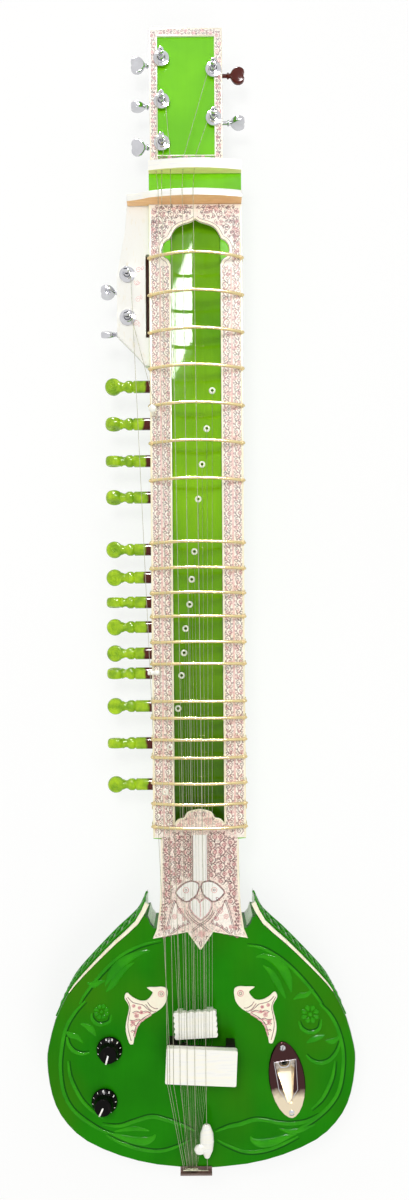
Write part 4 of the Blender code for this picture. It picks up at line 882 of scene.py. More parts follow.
BODY_LACQUER = Lacquer("carved_body_lacquer", "green_lacquer",
    Ink.BODY_GREEN, Ink.BODY_SHADE, 60, 0.45, 0.1, Ink.BODY_OLIVE, 0.02)
# Dark strips beside the carved lines are painted groove shadow, not cut grooves.
GROOVE_SHADOW_LACQUER = Lacquer("painted_groove_shadow", "green_lacquer",
    Ink.GROOVE_GREEN, Ink.BODY_SHADE, 12, 0.5, 0.2, None, 0.03)
# The raised carving is the body's lacquer painted a lighter green: a painted sheen where the crests catch
# the light.
RAISED_SHEEN_LACQUER = Lacquer("raised_carving_painted_sheen", "green_lacquer",
    Ink.RAISED_GREEN, Ink.BODY_GREEN, 18, 0.8, 0.35, None, 0.02)
NECK_LACQUER = Lacquer("bright_neck_lacquer", "bright_green_lacquer", Ink.BRIGHT_GREEN, Ink.BRIGHT_SHADE)
# The channel darkens towards the body, partly as painted shade.
CHANNEL_LACQUER = Lacquer("channel_lacquer", "bright_green_lacquer",
    Ink.CHANNEL_GREEN, Ink.CHANNEL_SHADE, 130, 0.75, 0.6, Ink.CHANNEL_DEEP, 0.02, 1.35, 0.22, (0.08, -0.2))
PEG_FINISH = StainedLacquer("peg_lacquer", "peg_lacquer", Ink.PEG_GREEN, Ink.PEG_SHADE, Ink.MAROON)
CELLULOID = Celluloid("marbled_celluloid", Ink.CELLULOID, Ink.CELLULOID_PINK, 0.4, 0.12)
HEEL_CELLULOID = Celluloid("heel_celluloid", Ink.HEEL_PALE, Ink.HEEL_PINK, 0.7, 0.36)
WHITE_CELLULOID = Celluloid("white_celluloid", Ink.WHITE, Ink.CELLULOID, 0.5)
BIRD_CELLULOID = Celluloid("bird_celluloid", Ink.CREAM, Ink.CELLULOID_PINK, 0.25)
CREAM_EDGE = Bone("cream_edging", Ink.CREAM, Ink.CREAM_SHADE, (1, 0.1, 1))
WHITE_BONE = Bone("white_bone", Ink.WHITE, Ink.CREAM)
TAN_BONE = Bone("tan_bone", Ink.TAN, Ink.TAN_SHADE)
PALE_BONE = Bone("pale_bone", Ink.PALE, Ink.CREAM_SHADE)
GUT = Bone("fret_gut", Ink.CREAM_SHADE, Ink.TAN, (1, 1, 1), "fret_brass")
BRASS_WIRE = Metal("fret_brass", "fret_brass", Ink.BRASS, 0.12, 0.3, (0.15, 1, 1), 1)
STEEL_WIRE = Metal("winding_steel", "steel", Ink.SILVER, 0.15, 0.32, (1, 0.05, 1), 0.6)
STRING_WIRE = Metal("string_steel", "steel", Ink.WIRE, 0.22, 0.4, (1, 0.05, 1), 0.6)
TAIL_METAL = Metal("tail_metal", "steel", Ink.TARNISH, 0.25, 0.45)
CHROME = Metal("tuner_chrome", "chrome", Ink.CHROME, 0.04, 0.13)
JACK_CHROME = ReflectionPaintedPlate("jack_chrome", "chrome", Ink.CHAMPAGNE, Ink.SMOKE)
CUP_METAL = Metal("jack_cup_metal", "chrome", Ink.CHAMPAGNE, 0.12, 0.3, (1, 0.05, 1), 0.3)
KNOB_PLASTIC = Plastic("knob_plastic", "black_plastic", Ink.BLACK, Ink.ETCH_DARK, 0.3, 0.05)
SLOT_WOOD = Plastic("slot_wood", "black_wood", Ink.SLOT_BROWN, Ink.EBONY, 0.5, 0)
EBONY_WOOD = Plastic("bridge_ebony", "black_wood", Ink.EBONY, Ink.ETCH_DARK, 0.4, 0.1)
BUTTON_PLASTIC = Plastic("button_plastic", "dark_button_plastic", Ink.MAROON, Ink.ETCH_DARK, 0.2, 0.5)
PLATE_PLASTIC = Plastic("side_plate_plastic", "white_plastic", Ink.WHITE, Ink.CREAM_SHADE, 0.3, 0.3)
ETCH = EtchFill("engraving_wax_grey", Ink.ETCH_GREY, Ink.ETCH_PINK)
ETCH_ROSE = EtchFill("engraving_wax_rose", Ink.ETCH_PINK, Ink.CELLULOID_PINK)
MARKING = EtchFill("white_marking", Ink.PAPER, Ink.CREAM, "white_plastic")


@dataclass
class Studio:
    """Camera, pale floor and soft light."""

    camera_height: float = 0.938
    lens: float = 27.789474
    aim: Place = (0, -0.071)
    frame_shift: Place = (0.005, 0.0625)
    roll: float = -0.42
    sensor: float = 36.0
    floor_size: float = 9.0
    floor_glow: float = 0.82
    daylight: float = 0.52

    def build(self) -> None:
        """Sets up the whole studio."""
        self.camera()
        self.floor()
        self.lamps()
        self.world()
        bpy.context.scene.view_settings.view_transform = "Standard"

    def camera(self) -> None:
        """Puts the camera over the instrument's middle, as in the photograph."""
        data = bpy.data.cameras.new("camera")
        data.sensor_fit = "AUTO"
        data.sensor_width = data.sensor_height = self.sensor
        data.lens = self.lens
        data.shift_x, data.shift_y = self.frame_shift
        data.clip_start = 0.01
        camera = bpy.data.objects.new("camera", data)
        camera.location = (*self.aim, self.camera_height)
        camera.rotation_euler = (0, 0, math.radians(self.roll))
        bpy.context.scene.collection.objects.link(camera)
        bpy.context.scene.camera = camera

    def floor(self) -> None:
        """Lays a pale floor that the camera sees almost white and that keeps the shadow."""
        pick()
        bpy.ops.mesh.primitive_plane_add(size=self.floor_size, location=(0, 0, -0.0006))
        floor = bpy.context.object
        floor.name = "floor"
        tree = Tree(bpy.data.materials.new("pale_floor"))
        tree.set(Base_Color=tree.mix(tree.noise(400, 2), Ink.WHITE, Ink.PAPER), Roughness=0.9)
        glow = tree.add("Emission", {"Strength": 1})
        amount = tree.add("Math", {0: self.seen_rays(tree), 1: self.floor_glow}, operation="MULTIPLY")
        both = {"Fac": amount.outputs[0], 1: tree.shader.outputs["BSDF"], 2: glow.outputs["Emission"]}
        share = tree.add("MixShader", both)
        tree.feed(tree.nodes["Material Output"].inputs["Surface"], share.outputs["Shader"])
        floor.data.materials.append(tree.block)

    @staticmethod
    def seen_rays(tree: Tree) -> NodeSocket:
        """Tells rays that show the background from those that light the object.

        Args:
            tree: The nodes that it is for.

        Returns:
            One for camera, glossy and transmission rays.
        """
        rays = tree.add("LightPath").outputs
        first = tree.add("Math", {0: rays["Is Camera Ray"], 1: rays["Is Glossy Ray"]}, operation="MAXIMUM")
        second = {0: first.outputs[0], 1: rays["Is Transmission Ray"]}
        return tree.add("Math", second, operation="MAXIMUM").outputs[0]

    def lamps(self) -> None:
        """Hangs soft boxes above and beside the instrument."""
        down = (0, 0, 0.03)
        boxes = (
            ("key_box", (-0.25, 0.47, 1.6), down, (0.42, 0.42), 9.6, True),
            ("fill_box", (0.3, -1, 1.3), down, (0.8, 0.8), 6.5, True),
            ("spark_box", (-0.3, 1.95, 0.8), down, (0.4, 0.4), 110, False),
            ("gleam_box", (0.51, 0.757, 1.15), (0.51, 0.757, 0), (0.8, 0.21), 40, False),
        )
        for name, place, aim, size, power, spreads in boxes:
            data = bpy.data.lights.new(name, "AREA")
            data.shape = "RECTANGLE"
            data.size, data.size_y = size
            data.energy = power
            lamp = bpy.data.objects.new(name, data)
            lamp.location = place
            lamp.visible_diffuse, lamp.visible_glossy = spreads, not spreads
            lamp.rotation_euler = (Vector(aim) - Vector(place)).to_track_quat("-Z", "Y").to_euler()
            bpy.context.scene.collection.objects.link(lamp)

    def world(self) -> None:
        """Surrounds the set with even light, and shows white where nothing else is seen."""
        world = bpy.data.worlds.new("studio")
        bpy.context.scene.world = world
        tree = Tree(world)
        strength = tree.add("MapRange", {"To Min": self.daylight, "Value": self.seen_rays(tree)})
        tree.set(Color=(1, 1, 1, 1), Strength=strength.outputs["Result"])


NUT_Y = 379.9
FRONT_Z = 58
NECK_HALF = 44
FRET_PLACES = (
    55, 90.4, 125.8, 160.2, 195.5, 230.9, 266.3, 325.8, 350, 373.3, 395.6, 419.8, 440.3, 475.6, 491.4,
    511.9, 528.7, 552.9, 572.4, 594.7,
)


def at(distance: float) -> float:
    """The Y of a place given as its distance from the lower nut."""
    return NUT_Y - distance


def arc_points(centre: Place, radius: float, start: float, end: float, count: int) -> Plan:
    """Points of an arc in plan.

    Args:
        centre: Its centre.
        radius: Its radius.
        start: The first angle in degrees.
        end: The last angle in degrees.
        count: How many points there are.

    Returns:
        The points.
    """
    angles = [math.radians(start + (end - start) * i / (count - 1)) for i in range(count)]
    return [(centre[0] + radius * math.cos(a), centre[1] + radius * math.sin(a)) for a in angles]


def spiral(centre: Place, outer: float, inner: float, start: float, turns: float,
           count: int = 18) -> Plan:
    """Points of a scroll that curls inwards.

    Args:
        centre: Its centre.
        outer: Its radius where it starts.
        inner: Its radius where it ends.
        start: The first angle in degrees.
        turns: How many turns it makes, negative clockwise.
        count: How many points there are.

    Returns:
        The points.
    """
    line = []
    for i in range(count):
        share = i / (count - 1)
        radius = outer + (inner - outer) * share
        angle = math.radians(start + 360 * turns * share)
        line.append((centre[0] + radius * math.cos(angle), centre[1] + radius * math.sin(angle)))
    return line


def leaf(root: Place, length: float, width: float, heading: float, bend: float = 0.0,
         count: int = 7) -> Plan:
    """The outline of a pointed leaf.

    Args:
        root: Where it grows from.
        length: Its length.
        width: Its greatest width.
        heading: The way that it points in degrees.
        bend: How far its tip swings aside, as a share of its length.
        count: Points along each side.

    Returns:
        The closed outline's points.
    """
    along = Vector((math.cos(math.radians(heading)), math.sin(math.radians(heading))))
    across = Vector((-along.y, along.x))
    left, right = [], []
    for i in range(count):
        share = i / (count - 1)
        middle = Vector(root) + along * length * share + across * bend * length * share**2
        half = width / 2 * math.sin(math.pi * share**0.8)
        left.append(tuple(middle + across * half))
        right.append(tuple(middle - across * half))
    return left + right[-2:0:-1]


def offset_line(points: Plan, distance: float) -> Plan:
    """Moves a line sideways.

    Args:
        points: Its points.
        distance: How far it moves, to its left as it runs.

    Returns:
        The moved line.
    """
    line = []
    for i, (x, y) in enumerate(points):
        before, after = points[max(i - 1, 0)], points[min(i + 1, len(points) - 1)]
        along = Vector((after[0] - before[0], after[1] - before[1])).normalized()
        line.append((x - along.y * distance, y + along.x * distance))
    return line


def flowing(points: list[tuple[float, ...]], steps: int = 5) -> list[tuple[float, ...]]:
    """Draws a smooth run through points, with every value of theirs eased alike.

    Args:
        points: The points.
        steps: How many new points lie from each to the next.

    Returns:
        The smooth run.
    """
    run = []
    last = len(points) - 1
    for i in range(last):
        group = (points[max(i - 1, 0)], points[i], points[i + 1], points[min(i + 2, last)])
        for step in range(steps):
            t = step / steps
            run.append(tuple(
                0.5 * (2 * q + (r - p) * t + (2 * p - 5 * q + 4 * r - s) * t**2
                       + (3 * q - p - 3 * r + s) * t**3)
                for p, q, r, s in zip(*group)
            ))
    return [*run, tuple(points[-1])]


@dataclass
class Engraving(Assembly):
    """Lines scratched into celluloid and rubbed with wax, gathered and then laid as one piece."""

    name: str
    height: float
    radius: float = 0.28
    lines: list[Plan] = field(default_factory=list)

    def line(self, points: Plan, closed: bool = False) -> None:
        """Keeps one line.

        Args:
            points: Its points.
            closed: Whether it returns to its start.
        """
        self.lines.append([*points, points[0]] if closed else list(points))

    def flower(self, centre: Place, radius: float, petals: int = 6, turn: float = 0.0) -> None:
        """Draws a rosette: round petals about a small ring.

        Args:
            centre: Its centre.
            radius: Its radius.
            petals: How many petals it has.
            turn: Degrees that it is turned.
        """
        ring = []
        steps = petals * 6
        for i in range(steps):
            angle = math.radians(turn) + math.tau * i / steps
            reach = radius * (0.62 + 0.38 * abs(math.sin(petals * (angle - math.radians(turn)) / 2)))
            ring.append((centre[0] + reach * math.cos(angle), centre[1] + reach * math.sin(angle)))
        self.line(ring, closed=True)
        self.line(arc_points(centre, radius * 0.25, 0, 330, 8), closed=True)

    def lay(self, maker: object) -> None:
        """Makes the wax lines as one flat mesh let into the surface.

        Args:
            maker: The wax.
        """
        runs = [[(x, y, self.height) for x, y in line] for line in self.lines]
        self.place(wire(self.name, runs, self.radius, 0, 0.3, self.height), maker)


@dataclass
class Vine:
    """A running scroll of stems, curls and leaves along a straight band."""

    width: float
    step: float

    def repeat(self, flip: bool) -> list[Plan]:
        """One repeat, with its middle line along Y from the origin.

        Args:
            flip: Whether the curl lies on the other side.

        Returns:
            Its lines.
        """
        half = self.width / 2
        way = -1 if flip else 1
        side = way * half
        stem = [(side * 0.55 * math.sin(math.pi * i / 8), self.step * i / 8) for i in range(9)]
        curl = spiral((-side * 0.3, self.step * 0.48), half * 0.52, half * 0.12, 90, way * 1.35, 14)
        bud = leaf((-side * 0.1, self.step * 0.9), half * 0.95, half * 0.42, 90 + way * 62, 0.12 * way, 5)
        shoot = leaf((side * 0.48, self.step * 0.42), half * 0.6, half * 0.3, 90 - way * 58, 0, 4)
        sprig = leaf((side * 0.3, self.step * 0.86), half * 0.62, half * 0.26, 90 - way * 20, 0.1, 4)
        return [stem, curl, bud + bud[:1], shoot + shoot[:1], sprig + sprig[:1]]

    def run(self, engraving: Engraving, x: float, low: float, high: float, turned: bool = False) -> None:
        """Engraves the vine along a band.

        Args:
            engraving: Where the lines go.
            x: The band's middle, or its Y where it is turned.
            low: Where it starts.
            high: Where it ends.
            turned: Whether the band runs along X.
        """
        count = max(1, round((high - low) / self.step))
        stretch = (high - low) / (count * self.step)
        for i in range(count):
            for line in self.repeat(bool(i % 2)):
                placed = [(x + a, low + (b + i * self.step) * stretch) for a, b in line]
                engraving.line([(b, a) for a, b in placed] if turned else placed)


@dataclass
class Rails(Assembly):
    """The celluloid on both rails and the cusped arch: sheet, cream edges and engraving."""

    channel_half: float = 23.7
    arch: Rows = (
        (0, 17.5), (2.5, 19.3), (5, 20.5), (7.9, 21.4), (11.5, 22.4), (14.7, 23.7), (17.4, 25.2),
        (19.6, 27.3), (21.3, 30), (22.8, 33), (24.3, 36.1), (25.1, 36.7), (27, 37.4), (28.9, 38.8),
        (30.5, 40.8), (31.7, 43.6), (32.3, 47.2), (31.7, 51.1), (29.8, 53.9), (26.8, 55.6), (25, 57.6),
        (24, 60.4),
    )
    top: float = 3.6
    bottom: float = 605.5
    low: float = 56

    def build(self) -> None:
        """Builds the sheet and its engraving."""
        right = [(x, at(down)) for x, down in self.arch]
        right += [(self.channel_half, at(self.arch[-1][1])), (self.channel_half, at(self.bottom))]
        right += [(NECK_HALF, at(self.bottom)), (NECK_HALF, at(self.top))]
        outline = right + [(-x, y) for x, y in reversed(right[1:])]
        sheet = shade(cut_out("rail_celluloid", outline, self.low, FRONT_Z, 0.25), 30)
        self.place(sheet, CELLULOID, BODY, "neck_overlay")
        self.edges()
        for side, name in ((-1, "left"), (1, "right")):
            grey = Engraving(f"rail_scrolls_{name}", FRONT_Z, 0.25)
            rose = Engraving(f"rail_blossoms_{name}", FRONT_Z, 0.28)
            self.columns(grey, rose, side)
            self.spandrels(grey, rose, side)
            grey.lay(ETCH)
            rose.lay(ETCH_ROSE)

    def columns(self, grey: Engraving, rose: Engraving, side: int) -> None:
        """Engraves one rail: two running scrolls with a double line between them.

        Args:
            grey: The grey lines.
            rose: The rose lines.
            side: Which rail.
        """
        low = at(self.bottom) + 3
        middle = (self.channel_half + NECK_HALF) / 2
        for number, x in enumerate(((self.channel_half + middle) / 2, (NECK_HALF + middle) / 2)):
            high = at(self.arch[-1][1]) - 3 if number == 0 else at(self.top) - 16
            Vine(8.8, 7).run(grey, side * x, low, high)
            blooms = int((high - low) / 14)
            for i in range(blooms):
                y = low + (i + 0.5) * (high - low) / blooms
                rose.flower((side * x + (2 if i % 2 else -2), y), 1.9, 5, 20 * i)
                rose.line(leaf((side * x, y + 4), 3.4, 1.6, 70 if i % 2 else 110, 0.1, 4), True)
        for off in (-0.5, 0.5):
            rose.line([(side * middle + off, low), (side * middle + off, at(self.arch[-1][1]) - 3)])
        for number in range(100):
            y = low + number * (at(64) - low) / 99
            inner = side * (self.channel_half + 1.6)
            grey.line([(inner, y), (inner + side * 0.9, y + 2)])

    def edges(self) -> None:
        """Lays the cream lines along the rails' outer and inner edges and round the arch."""
        z = FRONT_Z
        runs = []
        for side in (-1, 1):
            runs.append([(side * (NECK_HALF - 0.8), at(down), z) for down in (self.top + 1, self.bottom)])
            arch = offset_line([(x, at(down)) for x, down in self.arch], 1.3)
            inner = [(side * max(x, 0), y, z) for x, y in arch]
            inner.append((side * (self.channel_half + 0.8), at(self.arch[-1][1] + 1), z))
            inner.append((side * (self.channel_half + 0.8), at(self.bottom), z))
            runs.append(inner)
        edging = wire("rail_cream_edging", runs, 1, 1, 0.3, z)
        self.place(edging, CREAM_EDGE)

    def spandrels(self, grey: Engraving, rose: Engraving, side: int) -> None:
        """Engraves the arch's border line, and scrolls and blossoms over one of its shoulders.

        Args:
            grey: The grey lines.
            rose: The rose lines.
            side: Which shoulder.
        """
        border = offset_line([(x, at(down)) for x, down in self.arch], 2.9)
        grey.line([(side * max(x, 0), y) for x, y in border])
        grey.line([(side * x, at(down) + 0.2) for x, down in self.arch])
        for x, down, size, turn in (
            (36, 19, 5, 210), (22.5, 13, 4, 160), (40, 33, 3.4, 250), (11.5, 10, 3.4, 120),
            (30, 26, 3.6, 200),
        ):
            start = turn if side > 0 else 180 - turn
            grey.line(spiral((side * x, at(down)), size, size * 0.18, start, -1.6 * side, 24))
        for row, column in product(range(11), range(9)):
            x, down = 3.5 + 4.7 * column + 2.2 * (row % 2), 6.2 + 4.7 * row
            covered = any(x < far and down > near for far, near in self.arch)
            close = min(math.dist((x, down), point) for point in self.arch) < 4.8
            if covered or close or x > NECK_HALF - 3.5:
                continue
            start = 90 * row + 60 * column
            grey.line(spiral((side * x, at(down)), 1.9, 0.5, start, 1.1 if column % 2 else -1.1, 10))
            grey.line(leaf((side * x, at(down)), 3, 1.2, start + 200, 0.1, 4), True)
        for x, down, heading in (
            (28.5, 18, 60), (32, 21.5, 20), (18, 16.5, 100), (40, 24, 70), (7, 12, 40), (40.5, 44, 95),
            (37.5, 38.5, 60), (33, 31.5, 30), (41, 8, 200), (29, 7.5, 10), (18, 7.2, 170), (6, 6.8, 20),
            (34, 9, 150), (25, 9, 120), (40.5, 15, 250), (40, 53, 80),
        ):
            turn = heading if side > 0 else 180 - heading
            grey.line(leaf((side * x, at(down)), 5, 2.1, turn, 0.15 * side, 6), True)
        for x, down, size in (
            (31, 13, 2.4), (13, 7.2, 2.8), (40, 48, 2), (23.5, 21.5, 2.2), (39.5, 28.5, 2), (20, 8.5, 2),
            (39.5, 11, 2.2),
        ):
            rose.flower((side * x, at(down)), size, 6)


@dataclass
class Frets(Assembly):
    """Arched brass frets with rounded ends, and the gut that ties them round the neck."""

    radius: float = 1.5
    rise: float = 13
    reach: float = 45.8
    tie_offset: float = 3.2
    tie_radius: float = 0.4
    movable: tuple[int, ...] = (8, 14, 18, 19)
    tied_below: tuple[int, ...] = (19,)
    round_back: Rows = (
        (44.9, 52), (44.9, 33), (43.6, 21.2), (41, 15), (38.2, 9.2), (31.2, 2.2), (24.6, 0.7),
    )

    def height(self, x: float, seat: float) -> float:
        """Height of a fret's middle line.

        Args:
            x: The place across the neck.
            seat: Height of the rail that it stands on.

        Returns:
            The height.
        """
        bend = (NECK_HALF**2 + self.rise**2) / (2 * self.rise)
        return seat + self.radius + math.sqrt(bend**2 - x**2) - (bend - self.rise)

    def rod(self, number: int, seat: float) -> Object:
        """One fret's rod.

        Args:
            number: Which fret it is, from the nut.
            seat: Height of the rail that it stands on.

        Returns:
            The piece.
        """
        y = at(FRET_PLACES[number - 1])
        half = [(0, 0.35), (0.3, 0.66), (0.8, 0.9), (1.5, 1)]
        half += [(1.5 + (self.reach - 1.5) * i / 14, 1) for i in range(1, 15)]
        right = [(self.reach - inwards, y, self.height(self.reach - inwards, seat), thick)
                 for inwards, thick in half]
        left = [(-x, y, z, thick) for x, y, z, thick in right[-2::-1]]
        return wire(f"fret_rod_{number:02d}", [right + left], self.radius, 4)

    def ties(self, number: int, seat: float) -> Object:
        """The gut of one fret: strands round the neck's back and lashings over both ends.

        Args:
            number: Which fret it is.
            seat: Height of the rail that it stands on.

        Returns:
            The piece.
        """
        y = at(FRET_PLACES[number - 1])
        way = -2 if number in self.tied_below else 1
        top_z = self.height(self.reach, seat)
        runs = []
        for strand in (0, 1):
            beside = y + way * (self.tie_offset - strand * 0.9)
            half = [(self.reach - 1.2, y, top_z + 0.7), (self.reach - 1, y + way * 2.2, top_z - 1.2)]
            half += [(x, beside, max(z, 0.7)) for x, z in self.round_back]
            runs.append([(-a, b, c) for a, b, c in half] + half[::-1])
        for side in (-1, 1):
            for inwards in (2.1, 2.9, 3.7):
                x = self.reach - inwards
                ring = arc_points((y, self.height(x, seat)), self.radius + 0.2, 0, 360, 13)
                runs.append([(side * x, a, b) for a, b in ring])
        return wire(f"fret_gut_{number:02d}", runs, self.tie_radius, 1)

    def build(self) -> None:
        """Makes every fret."""
        rods, guts = [], []
        for number in range(1, len(FRET_PLACES) + 1):
            loose = number in self.movable
            seat = FRONT_Z + (0.3 if loose else -0.5)
            rod, gut = self.rod(number, seat), self.ties(number, seat)
            if loose:
                node = f"fret_{number:02d}"
                self.place(rod, BRASS_WIRE, node, node)
                self.place(gut, GUT, node)
            else:
                rods.append(rod)
                guts.append(gut)
        self.place(join("fixed_fret_rods", rods), BRASS_WIRE)
        self.place(join("fixed_fret_gut", guts), GUT)


@dataclass
class NeckFittings(Assembly):
    """Bone eyelets of the sympathetic strings and the two posts of the drone strings."""

    eyelet_places: Rows = (
        (15.2, 177.9), (9.7, 213.9), (4.9, 248.1), (1, 281.4), (-3.1, 332), (-5.8, 358.8), (-8, 382.9),
        (-12.1, 406.2), (-13.7, 429.6), (-16.2, 451.2), (-19.8, 482.8), (-27.7, 519.1), (-32.4, 561.7),
    )

    @staticmethod
    def seat(x: float) -> float:
        """Height of the surface under an eyelet.

        Args:
            x: Its place across the neck.

        Returns:
            The height.
        """
        if abs(x) > 23.7:
            return FRONT_Z
        return 50 - 4.8 * (1 - min((abs(x) + 3.1) / 23.4, 1) ** 2)

    def build(self) -> None:
        """Makes the eyelets and the posts."""
        self.refine("fretboard_plate", CHANNEL_LACQUER, 25)
        profile = [
            (1.1, -0.7), (3.3, -0.7), (3.3, 0.2), (2.9, 0.8), (2.2, 1.1), (1.5, 0.9), (1.2, 0.4),
            (1.1, -0.7),
        ]
        pattern = shade(lathe("eyelet", profile, 20), 40)
        rings = [copy_of(pattern, shift(x, at(down), self.seat(x))) for x, down in self.eyelet_places]
        bpy.data.objects.remove(pattern)
        self.place(join("string_eyelets", rings), WHITE_BONE)
        knob = lathe("drone_post_knob", [
            (0, -1), (2, -1), (2, 0.2), (1.7, 4), (1.5, 12), (1.7, 15.2), (3, 16.6), (3.8, 18.4), (3.6, 20),
            (2.4, 21.2), (0, 21.5),
        ], 20)
        move(knob, shift(-40.9, at(202.8), FRONT_Z))
        stem = lathe("drone_post_stem", [
            (0, -1), (2, -1), (2, 0.2), (1.6, 3), (1.5, 11), (1.3, 12.8), (0, 13),
        ], 16)
        move(stem, shift(-41.6, at(448.3), FRONT_Z))
        bar = lathe("drone_post_bar", [
            (0, -6), (1.9, -6), (2.4, -5.2), (2.4, -1.2), (1.8, 0), (2.4, 1.2), (2.4, 4.2), (1.9, 5),
            (0, 5),
        ], 16)
        move(bar, shift(-41.6, at(448.3), FRONT_Z + 10.8) @ spin(90, "Y"))
        posts = join("drone_posts", [knob, stem, bar])
        self.place(shade(posts, 50), WHITE_BONE)


@dataclass
class Nuts(Assembly):
    """Both arched nuts, with string grooves and string holes: faces that look up are white, a painted
    highlight, over tan faces on the lower nut and pale yellow ones on the upper, in painted shade.
    """

    half: float = 44
    crown: float = 4.8
    low: float = 56
    top: float = 75
    thick: float = 6.5
    grooves: tuple[float, ...] = (-34.5, -31.1, -22.7, -12, -1.8)

    def arch(self) -> Plan:
        """The lower nut's crown from right to left, with a notch under each string.

        Returns:
            Points of X and Z.
        """
        places = {self.half * (1 - i / 12): 0 for i in range(25)}
        for x in self.grooves:
            places = {p: d for p, d in places.items() if abs(p - x) > 1.2}
            places.update({x + 0.6: 0, x + 0.2: 0.5, x - 0.2: 0.5, x - 0.6: 0})
        drop = self.crown / self.half**2
        return [(x, self.top - drop * x**2 - depth) for x, depth in sorted(places.items(), reverse=True)]

    def build(self) -> None:
        """Makes both nuts, the lower one from its outline and the upper one from the CAD."""
        outline = [(self.half, self.low), *self.arch()]
        outline += [(-48, 68.3), (-56, 65.8), (-64, 64), (-64.6, 63.2), (-64.6, 54.3), (-self.half, 54.3),
                    (-self.half, self.low)]
        lower = cut_out("lower_nut_bone", outline, -self.thick / 2, self.thick / 2)
        move(lower, shift(0, NUT_Y) @ spin(90, "X"))
        apply(lower, "BEVEL", width=0.7 * MM, segments=3, limit_method="ANGLE", angle_limit=math.radians(60))
        self.place(shade(lower), TAN_BONE, BODY, "lower_nut")
        # Painted highlight: faces that look up take white bone over the tan faces in painted shade.
        tint(lower, WHITE_BONE.make(), lambda face: face.normal.z > 0.45)
        upper = self.refine("upper_nut", PALE_BONE, 30, 0.4)
        # Painted highlight: the upper nut's upward faces turn white over its pale yellow faces in painted
        # shade.
        tint(upper, WHITE_BONE.make(), lambda face: face.normal.z > 0.45)


